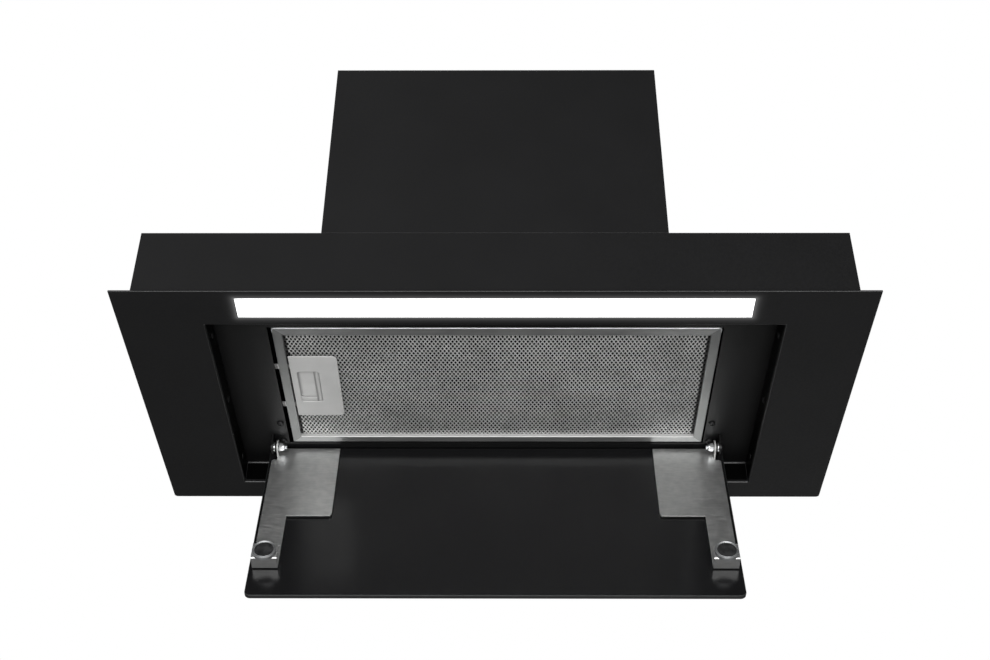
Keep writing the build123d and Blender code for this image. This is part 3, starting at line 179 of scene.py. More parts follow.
# Light grey satin lacquer on the cassette's handle: even, with a soft mould grain. The latch has it too, with painted
# shade in its groove and painted shadow on its tongues where they pass the gaps.
handleLacquer = {"dark": "ababaa", "light": "b3b3b2", "grainMm": 1.1, "cloudMm": 22.0, "bumpMm": 0.02,
                 "roughness": (0.46, 0.56), "specular": 0.4, "paintedShadeColour": "2a2a2a", "grooveShade": 0.75}
# Expanded aluminium: bright where the knife cut it, dull on the flat. A painted shadow darkens a strip of it beside
# each side rail, and the strands are painted a little darker than the bonds, a painted shade.
expandedMetal = {"dark": "dcdcdb", "light": "f6f6f5", "marksPerMetre": (700.0, 300.0, 700.0), "cloudMm": 40.0,
                 "bumpMm": 0.01, "roughness": (0.34, 0.46), "shadeMm": 1.9, "shadeSoft": 0.2, "shade": 0.16,
                 "strandShadeTone": 0.9}

# Other coated, moulded and cast finishes, by the slot that takes them
grainedFinishes = {
    "black_sheet": ("powderCoatSatinBlack", powderCoat),
    # The recess and deck: same coat, smoother, so that the filter and the light show in it softly
    "recess_steel": ("powderCoatRecess", {
        "dark": "050505", "light": "080809", "grainMm": 2.2, "cloudMm": 60.0, "bumpMm": 0.03,
        "roughness": (0.38, 0.46), "specular": 0.26}),
    # Zinc plate on steel, blue passivated: bright, slightly clouded
    "zinc": ("zincPlateClear", {
        "dark": "d8dadc", "light": "f2f3f4", "grainMm": 1.0, "cloudMm": 9.0, "bumpMm": 0.02,
        "roughness": (0.28, 0.4), "metallic": 1.0}),
    "handle_metal": ("lacquerLightGrey", handleLacquer),
    # Black oxide on screws: thin, dark, oily sheen
    "black_screw": ("blackOxideSteel", {
        "dark": "111112", "light": "222223", "grainMm": 0.7, "cloudMm": 4.0, "bumpMm": 0.02,
        "roughness": (0.34, 0.46), "metallic": 0.5}),
    # Moulded ABS and black nylon: matt from the spark-eroded mould
    "black_plastic": ("absMouldedBlack", {
        "dark": "101011", "light": "19191a", "grainMm": 1.2, "cloudMm": 35.0, "bumpMm": 0.06,
        "roughness": (0.45, 0.6), "specular": 0.4}),
    "nylon": ("nylonBlack", {
        "dark": "0c0c0d", "light": "151516", "grainMm": 0.8, "cloudMm": 12.0, "bumpMm": 0.02,
        "roughness": (0.4, 0.5), "specular": 0.4}),
    # Foam tape and rubber: matt, open pores
    "tape": ("foamTapeBlack", {
        "dark": "050505", "light": "0b0b0b", "grainMm": 0.7, "cloudMm": 10.0, "bumpMm": 0.15,
        "roughness": (0.8, 0.95), "specular": 0.2}),
    "rubber": ("rubberSoft", {
        "dark": "0d0d0d", "light": "171717", "grainMm": 0.9, "cloudMm": 9.0, "bumpMm": 0.06,
        "roughness": (0.6, 0.75), "specular": 0.3}),
    # Sintered magnet: dark, gritty, half metallic
    "magnet": ("magnetSintered", {
        "dark": "262627", "light": "4a4a4b", "grainMm": 1.3, "cloudMm": 6.0, "bumpMm": 0.12,
        "roughness": (0.45, 0.65), "metallic": 0.7}),
    # White solder mask, yellow phosphor resin, and the capacitor's white polypropylene can
    "board": ("solderMaskWhite", {
        "dark": "cfd1cc", "light": "e3e4e0", "grainMm": 0.9, "cloudMm": 11.0, "bumpMm": 0.03,
        "roughness": (0.25, 0.38)}),
    "chip": ("phosphorResin", {
        "dark": "d9b64a", "light": "e9cf72", "grainMm": 0.5, "cloudMm": 3.0, "bumpMm": 0.02,
        "roughness": (0.2, 0.3)}),
    "capacitor_case": ("polypropyleneWhite", {
        "dark": "c9c8c2", "light": "dcdbd6", "grainMm": 1.5, "cloudMm": 20.0, "bumpMm": 0.03,
        "roughness": (0.35, 0.45)}),
    # Glass-filled nylon of the blower: grey-black with pale flow marks
    "blower_plastic": ("nylonGlassFilled", {
        "dark": "1d1e20", "light": "303134", "grainMm": 1.4, "cloudMm": 28.0, "bumpMm": 0.08,
        "roughness": (0.5, 0.68)}),
    "impeller_plastic": ("nylonImpeller", {
        "dark": "17181a", "light": "232427", "grainMm": 1.0, "cloudMm": 20.0, "bumpMm": 0.05,
        "roughness": (0.42, 0.55)}),
    # Motor can: grey stove enamel with a slight dust
    "motor_metal": ("enamelMotorGrey", {
        "dark": "5c5f61", "light": "74777a", "grainMm": 1.4, "cloudMm": 18.0, "bumpMm": 0.04,
        "roughness": (0.4, 0.52)}),
}
brushedFinishes = {
    # Drawn stainless steel of shaft, spring and pin
    "steel": ("stainlessDrawn", {
        "dark": "c0c1c1", "light": "d6d7d6", "marksPerMetre": (40.0, 1200.0, 1200.0), "cloudMm": 8.0,
        "bumpMm": 0.01, "roughness": (0.22, 0.32)}),
    "mesh_metal": ("aluminiumExpandedRear", expandedMetal),
    # Extruded aluminium channel: die lines along X
    "profile": ("aluminiumExtruded", {
        "dark": "a9abad", "light": "c2c4c5", "marksPerMetre": (15.0, 1000.0, 1000.0), "cloudMm": 30.0,
        "bumpMm": 0.02, "roughness": (0.3, 0.4)}),
}
materialOf = {slot: makeGrained(*entry)[0] for slot, entry in grainedFinishes.items()}
materialOf.update({slot: makeBrushed(*entry)[0] for slot, entry in brushedFinishes.items()})

# Foil layers deep in the filter: aluminium painted near black, a painted shade for the dark inside the filter
filterFoilShade = makeGrained("foilStackPaintedShade", {
    "dark": "020202", "light": "090909", "grainMm": 2.4, "cloudMm": 5.0, "bumpMm": 0.8,
    "roughness": (0.4, 0.6), "metallic": 0.9})[0]
# Nickel plate on the magnets' cups: satin, so that the rim is one even line
cupNickel = makeGrained("nickelPlateCup", {
    "dark": "8f9091", "light": "a9aaab", "grainMm": 1.0, "cloudMm": 7.0, "bumpMm": 0.02,
    "roughness": (0.5, 0.6), "metallic": 1.0})[0]
# Coat on bends and cut edges: smoother and glossier, and painted lighter than the flat coat, a painted highlight line
edgeCoatHighlight = makeGrained("powderCoatEdgeHighlight", {
    "dark": "151516", "light": "1c1c1d", "grainMm": 2.0, "cloudMm": 30.0, "bumpMm": 0.02,
    "roughness": (0.3, 0.4), "specular": 0.5})[0]
# The glass's ground edge: fine grey scratches along the edge, frosted
groundGlass = makeGrained("glassGroundEdge", {
    "dark": "151817", "light": "202322", "grainMm": 0.5, "cloudMm": 6.0, "bumpMm": 0.02,
    "roughness": (0.34, 0.42), "specular": 0.6})[0]
# Edge of the flap's ears: light and matt so that it takes light from all round, a painted highlight
earEdgeHighlight = makeGrained("stainlessEarHighlight", {
    "dark": "939493", "light": "a8a9a8", "grainMm": 0.8, "cloudMm": 5.0, "bumpMm": 0.02,
    "roughness": (0.45, 0.55), "metallic": 0.2})[0]


# The latch's lacquer with painted shade: the mesh's own attribute marks where it is darkened
def makeGroovedLacquer():
    material, tree, shader = makeGrained("lacquerGroovePaintedShade", handleLacquer)[:3]
    mark = addNode(tree, "Attribute", attribute_name="grooveAndShade").outputs["Fac"]
    shade = addNode(tree, "MapRange", (mark, 0.0, 1.0, 0.0, handleLacquer["grooveShade"]))
    tintBase(tree, shader, shade, handleLacquer["paintedShadeColour"])
    return material


grooveLacquer = makeGroovedLacquer()
print("grained and brushed finishes made")

# The lit strip: opal acrylic, even and white, a little weaker towards its ends. Its spill on the face plate is a soft
# painted glow, and the recess's walls are painted darker with less sheen, a painted shade.
lightStrip = {"body": "e8e9ea", "colour": "ffffff", "strength": 1.5, "endStrength": 1.15, "endFadeMm": 14.0,
              "grainMm": 3.0, "roughness": (0.36, 0.46), "haloStrength": 0.18, "haloReachMm": 2.0,
              "plateMm": 0.5, "wallMm": 3.0, "wallShadeTone": 0.1, "wallSpecular": 0.04}


def makeOpal():
    values = lightStrip
    look = {"Base Color": linearColour(values["body"]), "Emission Color": linearColour(values["colour"])}
    material, tree, shader, place = startMaterial("acrylicOpalLit", look)
    low, high = boxOf("light_diffuser")
    axes = addNode(tree, "SeparateXYZ", (place,)).outputs
    away = beyondSpan(tree, axes[0], 0.0, (high - low)[0] / 2 * mm)
    ends = (away, -values["endFadeMm"] * mm, 0.0, values["strength"], values["endStrength"])
    tree.links.new(addNode(tree, "MapRange", ends).outputs[0], shader.inputs["Emission Strength"])
    grain = addNode(tree, "TexNoise", {"Vector": place, "Scale": 1 / (values["grainMm"] * mm)})
    satin = addNode(tree, "MapRange", (grain, *noiseSpan, *values["roughness"]))
    tree.links.new(satin.outputs[0], shader.inputs["Roughness"])
    return material


materialOf["diffuser"] = makeOpal()


# Powder coat of the face plate with the strip's spill painted on as a glow, and painted shade on the recess's walls:
# brightness = haloStrength x e to the power of -(distance from the strip's outline / haloReach)
def makePlateCoat():
    values = lightStrip
    material, tree, shader, place = makeGrained("powderCoatFacePlate", powderCoat)
    low, high = (corner * mm for corner in boxOf("light_diffuser"))
    centre, half = (low + high) / 2, (high - low) / 2
    axes = addNode(tree, "SeparateXYZ", (place,)).outputs
    outside = []
    for axis in (0, 1):
        away = beyondSpan(tree, axes[axis], centre[axis], half[axis])
        outside.append(addNode(tree, "Math", (away, 0.0), operation="MAXIMUM"))
    away = addNode(tree, "VectorMath", (addNode(tree, "CombineXYZ", outside),), operation="LENGTH").outputs["Value"]
    fall = addNode(tree, "Math", (away, -values["haloReachMm"] * mm), operation="DIVIDE")
    fall = addNode(tree, "Math", (fall,), operation="EXPONENT")
    under = addNode(tree, "Math", (axes[2], low[2] + values["plateMm"] * mm), operation="LESS_THAN")
    strength = addNode(tree, "Math", (under, values["haloStrength"]), operation="MULTIPLY")
    fall = addNode(tree, "Math", (fall, strength), operation="MULTIPLY")
    shader.inputs["Emission Color"].default_value = linearColour(values["colour"])
    tree.links.new(fall.outputs[0], shader.inputs["Emission Strength"])
    # Painted shade: above wallMm the recess's walls are darkened and lose most of their sheen
    inside = addNode(tree, "Math", (axes[2], low[2] + values["wallMm"] * mm), operation="GREATER_THAN")
    tintBase(tree, shader, addNode(tree, "Math", (inside, 1 - values["wallShadeTone"]), operation="MULTIPLY"), "000000")
    gloss = addNode(tree, "MapRange", (inside, 0.0, 1.0, powderCoat["specular"], values["wallSpecular"]))
    tree.links.new(gloss.outputs[0], shader.inputs["Specular IOR Level"])
    return material


plateCoat = makePlateCoat()

# Cassette frame: brushed aluminium, mitred. Marks run along each rail, and a dark hairline shows at each mitre.
# The side rails are painted darker, a painted shade. The rear rail's inner wall is painted light and matt, a painted
# highlight, and the hooks are painted near black, a painted shadow.
frameFinish = {"hookMm": 5.0, "lipMm": 7.8, "sheetMm": 0.7, "dark": "969797", "light": "a8a9a8", "stileShadeTone": 0.7,
               "detail": 3.0, "fineMm": 1.0, "longMm": 45.0, "cloudMm": 25.0, "bumpMm": 0.02, "roughness": (0.47, 0.6),
               "mitreMm": 0.2, "mitreColour": "5c5c5c", "wallMm": 0.5, "wallFromMm": 0.3, "wallHighlightColour": "d8d8d7",
               "wallRoughness": 0.6, "hookFromMm": 0.1, "hookShadowColour": "141414"}


def makeFrameAluminium():
    values = frameFinish
    material, tree, shader, place = startMaterial("aluminiumBrushedMitred", {"Metallic": 1.0})
    low, high = (corner * mm for corner in boxOf("filter_frame"))
    hookX = high[0] - values["hookMm"] * mm
    axes = addNode(tree, "SeparateXYZ", (place,)).outputs
    inX = beyondSpan(tree, axes[0], (low[0] + hookX) / 2, (hookX - low[0]) / 2)
    inY = beyondSpan(tree, axes[1], (low[1] + high[1]) / 2, (high[1] - low[1]) / 2)
    lead = addNode(tree, "Math", (inX, inY), operation="SUBTRACT")
    onStile = addNode(tree, "Math", (lead, 0.0), operation="GREATER_THAN")
    gap = addNode(tree, "Math", (lead,), operation="ABSOLUTE")
    onMitre = addNode(tree, "Math", (gap, values["mitreMm"] * mm), operation="LESS_THAN")
    fine, long = 1 / (values["fineMm"] * mm), 1 / (values["longMm"] * mm)
    brushes = []
    for scale in ((long, fine, fine), (fine, long, fine)):
        marks = addNode(tree, "Mapping", {"Vector": place, "Scale": scale})
        brushes.append(addNode(tree, "TexNoise", {"Vector": marks, "Scale": 1.0, "Detail": values["detail"]}))
    brush = addNode(tree, "Mix", {0: onStile, 2: brushes[0], 3: brushes[1]})
    brushShader(tree, shader, place, values, brush)
    wall = (axes[1], high[1] - values["lipMm"] * mm, values["wallMm"] * mm)
    above = addNode(tree, "Math", (axes[2], low[2] + values["wallFromMm"] * mm), operation="GREATER_THAN")
    onWall = addNode(tree, "Math", (addNode(tree, "Math", wall, operation="COMPARE"), above), operation="MULTIPLY")
    onHook = addNode(tree, "Math", (axes[0], hookX + values["hookFromMm"] * mm), operation="GREATER_THAN")
    # Painted shade on the side rails, painted highlight on the rear rail's inner wall, painted shadow on the hooks
    stileShade = addNode(tree, "Math", (onStile, 1 - values["stileShadeTone"]), operation="MULTIPLY")
    for factor, colour in ((stileShade, "000000"), (onMitre, values["mitreColour"]), (onWall, values["wallHighlightColour"]),
                           (onHook, values["hookShadowColour"])):
        tintBase(tree, shader, factor, colour)
    satin = shader.inputs["Roughness"].links[0].from_socket
    satin = addNode(tree, "Mix", {0: onWall, 2: satin, 3: values["wallRoughness"]})
    tree.links.new(satin.outputs[0], shader.inputs["Roughness"])
    return material


materialOf["filter_metal"] = makeFrameAluminium()


# Painted shadow beside the side rails: the colour falls to shade within shadeMm of a rail's inner edge; tone dims the
# whole copy
def makeSheetMetal(name, tone):
    material, tree, shader, place = makeBrushed(name, expandedMetal)
    low, high = boxOf("filter_front_mesh")
    half = (high[0] - low[0]) / 2 + frameFinish["sheetMm"] - frameFinish["lipMm"]
    axes = addNode(tree, "SeparateXYZ", (place,)).outputs
    away = beyondSpan(tree, axes[0], (low[0] + high[0]) / 2 * mm, half * mm)
    width, soft = expandedMetal["shadeMm"] * mm, expandedMetal["shadeSoft"]
    ends = (away, -(1 + soft) * width, -(1 - soft) * width, 1 - tone, 1 - tone * expandedMetal["shade"])
    tintBase(tree, shader, addNode(tree, "MapRange", ends), "000000")
    return material


strandMetal = makeSheetMetal("aluminiumStrand", expandedMetal["strandShadeTone"])
bondMetal = makeSheetMetal("aluminiumBond", 1.0)

# The flap's own axes: origin on the hinge axis, up the flap, and out of its inner face. It leans from upright.
flapLean = math.radians(14.865)
hingePlace = middle("hinge_bolts")
flapOrigin = np.array((0.0, hingePlace[1], hingePlace[2]))
flapRight = np.array((1.0, 0.0, 0.0))
flapUp = np.array((0.0, math.sin(flapLean), math.cos(flapLean)))
flapOut = np.array((0.0, -math.cos(flapLean), math.sin(flapLean)))

# Black tempered glass: enamelled behind, satin gloss, faint smears
blackGlass = {"body": "101011", "roughness": (0.2, 0.26), "smearMm": 55.0, "smearDetail": 5.0, "bumpMm": 0.01,
              "bump": 0.1, "specular": 0.6}


def makeGlass():
    values = blackGlass
    look = {"Specular IOR Level": values["specular"], "Base Color": linearColour(values["body"])}
    material, tree, shader, place = startMaterial("glassTemperedBlack", look)
    smear = addNode(tree, "TexNoise", {"Vector": place, "Scale": 1 / (values["smearMm"] * mm),
                                       "Detail": values["smearDetail"]})
    gloss = addNode(tree, "MapRange", (smear, *noiseSpan, *values["roughness"]))
    tree.links.new(gloss.outputs[0], shader.inputs["Roughness"])
    bump = addNode(tree, "Bump", {"Height": smear, "Distance": values["bumpMm"] * mm, "Strength": values["bump"]})
    tree.links.new(bump.outputs[0], shader.inputs["Normal"])
    return material


materialOf["glass_black"] = makeGlass()

# Brushed stainless steel of the flap's brackets: marks along X, soft and grey
brushedSteel = {"dark": "dedfde", "light": "eeeeed", "marksPerMetre": (110.0, 600.0, 600.0), "cloudMm": 7.0,
                "bumpMm": 0.03, "roughness": (0.36, 0.47)}
# Painted shade: the flat sheet is darkened beside the ear's fold:
# tone = faceTone (1 - foldShade e to the power of -(distance from the fold / foldReach) ^ 2)
bracketTone = {"endShadeTone": 0.42, "cutShadeTone": 0.1, "foldShade": 0.6, "foldReachMm": 9.0, "foldInMm": 9.5,
               "foldDownMm": 15.0, "flatMm": 3.0, "platformDownMm": 115.0, "earDownMm": 30.0, "sideNormal": 0.7,
               "downNormal": 0.9}
# How far out of the hinge axis the flat sheet ends
sheetOut = ((pointsOf("flap_bracket_right") - flapOrigin) @ flapOut).min() + bracketTone["flatMm"]


def makeBracketSteel(name, faceTone):
    values = bracketTone
    material, tree, shader, place = makeBrushed(name, brushedSteel)
    x, y, z = addNode(tree, "SeparateXYZ", (place,)).outputs
    side = addNode(tree, "Math", (x,), operation="ABSOLUTE")
    spot = addNode(tree, "CombineXYZ", (side, y, z))
    fold = flapOrigin - values["foldDownMm"] * flapUp
    fold[0] = boxOf("flap_bracket_right")[1][0] - values["foldInMm"]
    away = addNode(tree, "VectorMath", (spot, tuple(fold * mm)), operation="DISTANCE").outputs["Value"]
    away = addNode(tree, "Math", (away, values["foldReachMm"] * mm), operation="DIVIDE")
    away = addNode(tree, "Math", (away, 2.0), operation="POWER")
    away = addNode(tree, "Math", (away, -1.0), operation="MULTIPLY")
    shade = addNode(tree, "Math", (away,), operation="EXPONENT")
    out = addNode(tree, "VectorMath", (place, tuple(flapOut)), operation="DOT_PRODUCT").outputs["Value"]
    flat = addNode(tree, "Math", (out, (sheetOut + flapOrigin @ flapOut) * mm), operation="LESS_THAN")
    shade = addNode(tree, "Math", (shade, flat), operation="MULTIPLY")
    ends = (shade, 0.0, 1.0, 1 - faceTone, 1 - faceTone * (1 - values["foldShade"]))
    tintBase(tree, shader, addNode(tree, "MapRange", ends), "000000")
    return material


# Darker copies for the platform's end, the ears' sides and the sheet's cut edge: painted shade
bracketSteel = makeBracketSteel("stainlessBrushedBracket", 1.0)
bracketEnd = makeBracketSteel("stainlessBrushedEnd", bracketTone["endShadeTone"])
bracketCut = makeBracketSteel("stainlessCutEdge", bracketTone["cutShadeTone"])

# Each CAD node takes its slot's finish, apart from the few that have their own
ownFinish = {"face_plate": plateCoat, "hinge_bracket_left": materialOf["recess_steel"],
             "hinge_bracket_right": materialOf["recess_steel"], "flap_bracket_left": bracketSteel,
             "flap_bracket_right": bracketSteel, "filter_core": filterFoilShade}
for subpart in frame["record"]["subparts"]:
    mesh = frame["nodes"][subpart["node"]].data
    mesh.materials.clear()
    mesh.materials.append(ownFinish.get(subpart["node"], materialOf[subpart["material_slot"]]))
print("finishes assigned")


# Points given in a piece's own axes, moved to its place. Rows of points are x, y, z along right, up and out.
def placed(points, origin, right, up, out):
    return np.asarray(origin) + points @ np.array((right, up, out), float)


# Quads between neighbouring rings of a grid. A closed grid joins its last ring to its first.
def gridFaces(rings, count, closed=False):
    index = np.arange(rings * count).reshape(rings, count)
    first = index if closed else index[:-1]
    second = np.roll(index, -1, 0) if closed else index[1:]
    return np.stack((first, np.roll(first, -1, 1), np.roll(second, -1, 1), second), -1).reshape(-1, 4)


# A turned piece: segment s of a ring is (radius cos a, radius sin a, height), with a = 2 pi s / segments.
# Each pair in the profile is a ring's radius and height, as one number or as one for every segment.
def turned(profile, segments, closed=False):
    radius, height = (np.stack([np.broadcast_to(pair[part], segments) for pair in profile]) for part in (0, 1))
    angle = 2 * np.pi * np.arange(segments) / segments
    points = np.stack((radius * np.cos(angle), radius * np.sin(angle), height), -1).reshape(-1, 3)
    return points, gridFaces(len(profile), segments, closed)


# Rings of equal count joined into a surface; each entry is a ring of x, y points and its height
def loft(entries, closed=False):
    points = np.concatenate([np.insert(ring, 2, height, 1) for ring, height in entries])
    return points, gridFaces(len(entries), len(entries[0][0]), closed)


# A round tube along a path of x, y points: path + radius cos a sideways, and level + radius sin a upwards
def tube(path, radius, level, segments):
    step = np.gradient(path, axis=0)
    step /= np.linalg.norm(step, axis=1, keepdims=True)
    side = np.stack((step[:, 1], -step[:, 0]), -1)
    angle = 2 * np.pi * np.arange(segments) / segments
    flat = path[:, None] + (radius[:, None] * np.cos(angle))[..., None] * side[:, None]
    height = level + radius[:, None] * np.sin(angle)
    points = np.concatenate((flat, height[..., None]), -1).reshape(-1, 3)
    return points, gridFaces(len(path), segments)


# Points of a new piece that are closer than this are one
seamMm = 0.0001


# Several surfaces as one mesh, merged where they touch themselves, with faces pointing outwards
def addPiece(name, surfaces, material, body, replaced=(), smoothDeg=35.0):
    points, faces, start = [], [], 0
    for surfacePoints, surfaceFaces in surfaces:
        points.append(surfacePoints)
        faces.extend((surfaceFaces + start).tolist())
        start += len(surfacePoints)
    mesh = bpy.data.meshes.new(name)
    mesh.from_pydata(np.concatenate(points) * mm, [], faces)
    work = bmesh.new()
    work.from_mesh(mesh)
    bmesh.ops.remove_doubles(work, verts=work.verts, dist=seamMm * mm)
    bmesh.ops.recalc_face_normals(work, faces=work.faces)
    work.to_mesh(mesh)
    work.free()
    mesh.polygons.foreach_set("use_smooth", np.ones(len(mesh.polygons), bool))
    mesh.set_sharp_from_angle(angle=math.radians(smoothDeg))
    return finishPiece(name, mesh, material, body, replaced)


def finishPiece(name, mesh, material, body, replaced):
    mesh.materials.clear()
    mesh.materials.append(material)
    piece = bpy.data.objects.new(name, mesh)
    bpy.context.scene.collection.objects.link(piece)
    if body:
        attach(piece, body)
    if replaced:
        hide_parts(*replaced)
    return piece


# Sheet parts with their cut edges broken by a small bevel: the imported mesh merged, its flat faces joined, and
# bevelled. Each has its piece's name, the bevel's width, slot and body, and the bevel's own finish if it has one.
edgeBreaks = {
    "face_plate": ("facePlate", 0.45, "black_sheet", "housing", edgeCoatHighlight),
    "body_shell": ("bodyShell", 0.4, "black_sheet", "housing"),
    "motor_box": ("motorBox", 0.4, "black_sheet", "housing"),
    "motor_box_lid": ("motorBoxLid", 0.3, "black_sheet", "housing"),
    "flap_bracket_left": ("flapBracketLeft", 0.25, "steel", "flap"),
    "flap_bracket_right": ("flapBracketRight", 0.25, "steel", "flap"),
    "light_driver": ("lightDriver", 0.6, "black_plastic", "housing"),
    "control_lid": ("controlLid", 0.5, "black_plastic", "housing"),
    "control_box": ("controlBox", 0.4, "black_plastic", "housing"),
    "flap_glass": ("flapGlass", 0.55, "glass_black", "flap", groundGlass),
    "filter_frame": ("filterFrame", 0.25, "filter_metal", "housing"),
}
edgeBevel = {"mergeMm": 0.002, "flatDeg": 0.5, "segments": 2, "sharpDeg": 40.0}


def breakEdges(node, name, widthMm, slotName, body, edgeFinish=None):
    source = frame["nodes"][node]
    mesh = source.data.copy()
    mesh.name = name
    work = bmesh.new()
    work.from_mesh(mesh)
    bmesh.ops.remove_doubles(work, verts=work.verts, dist=edgeBevel["mergeMm"] * mm)
    bmesh.ops.dissolve_limit(work, angle_limit=math.radians(edgeBevel["flatDeg"]), verts=work.verts, edges=work.edges)
    work.to_mesh(mesh)
    work.free()
    if "custom_normal" in mesh.attributes:
        mesh.attributes.remove(mesh.attributes["custom_normal"])
    mesh.polygons.foreach_set("use_smooth", np.ones(len(mesh.polygons), bool))
    piece = finishPiece(name, mesh, source.data.materials[0], body, (node,))
    bevel = piece.modifiers.new("edgeBreak", "BEVEL")
    bevel.width = widthMm * mm
    bevel.segments = edgeBevel["segments"]
    bevel.limit_method = "ANGLE"
    bevel.angle_limit = math.radians(edgeBevel["sharpDeg"])
    if edgeFinish:
        mesh.materials.append(edgeFinish)
        bevel.material = 1
    piece.modifiers.new("evenShade", "WEIGHTED_NORMAL").keep_sharp = False
    return mesh


bevelled = {node: breakEdges(node, *values) for node, values in edgeBreaks.items()}

# The face plate's bends take the lighter edge coat, a painted highlight, those along X only: their normals lie between
# level and upright
plateBends = {"upFrom": 0.1, "upTo": 0.97, "sideTo": 0.5}
plateNormal = np.abs(rowsOf(bevelled["face_plate"].polygons, "normal"))
aside, upright = plateNormal[:, 0], plateNormal[:, 2]
onBend = (upright > plateBends["upFrom"]) & (upright < plateBends["upTo"]) & (aside < plateBends["sideTo"])
bevelled["face_plate"].polygons.foreach_set("material_index", onBend.astype(np.int32))

# The brackets' faces: the platform's end and the ears' sides are painted darker, a painted shade, the ears' edges
# are painted light and matt, a painted highlight, and the sheet's cut edge that looks down the flap is painted dark, a
# painted shade
for node in ("flap_bracket_left", "flap_bracket_right"):
    bracket = bevelled[node]
    for material in (bracketEnd, bracketCut, earEdgeHighlight):
        bracket.materials.append(material)
    offset = rowsOf(bracket.polygons, "center") / mm - flapOrigin
    normal = rowsOf(bracket.polygons, "normal")
    down, out = -offset @ flapUp, offset @ flapOut
    onEar = (down < bracketTone["earDownMm"]) & (out > sheetOut)
    earSide = onEar & (np.abs(normal[:, 0]) > bracketTone["sideNormal"])
    looksDown = normal @ flapUp < -bracketTone["downNormal"]
    faceKinds = [earSide, onEar, looksDown & (down > bracketTone["platformDownMm"]), looksDown]
    bracket.polygons.foreach_set("material_index", np.select(faceKinds, [1, 3, 1, 2]).astype(np.int32))

# The glass's sides stand a little further out than in CAD
glassGrow = {"side": 1.1}
glassPoints = rowsOf(bevelled["flap_glass"].vertices, "co")
glassPoints[:, 0] += np.copysign(glassGrow["side"] * mm, glassPoints[:, 0])
bevelled["flap_glass"].vertices.foreach_set("co", glassPoints.ravel())
print("sheet edges broken")

# Expanded metal in front of the cassette: strands between bonds on a staggered lattice.
# Point (i, j) is at (i pitchX / 2, j pitchY / 2) where i + j is even, and strands join it to its four nearest.
# Each point carries a bond, a smooth tilted bar. Under the handle the sheet is cut away to make room for the latch.
expandedSheet = {"pitchX": 3.5, "pitchY": 6.5, "strandWidth": 0.95, "strandThickness": 0.35, "strandTiltDeg": 49.0,
                 "bondWidth": 1.15, "bondLength": 2.0, "bondThickness": 0.4, "bondTiltDeg": 34.0, "inset": 1.2,
                 "under": 23.2, "depth": 1.05, "uneven": 0.12, "cutBack": 4.0, "cutBeside": 1.0, "seed": 4}


# Bars with rectangular ends: corner = end +- (width / 2) flat +- (thickness / 2) upright
def barSurface(start, end, flat, upright, width, thickness):
    corners = []
    for point in (start, end):
        for a, b in ((-1, -1), (1, -1), (1, 1), (-1, 1)):
            corners.append(point + a * width / 2 * flat + b * thickness / 2 * upright)
    points = np.stack(corners, 1).reshape(-1, 3)
    bar = np.array(((0, 1, 5, 4), (1, 2, 6, 5), (2, 3, 7, 6), (3, 0, 4, 7), (3, 2, 1, 0), (4, 5, 6, 7)))
    return points, (bar[None] + 8 * np.arange(len(start))[:, None, None]).reshape(-1, 4)


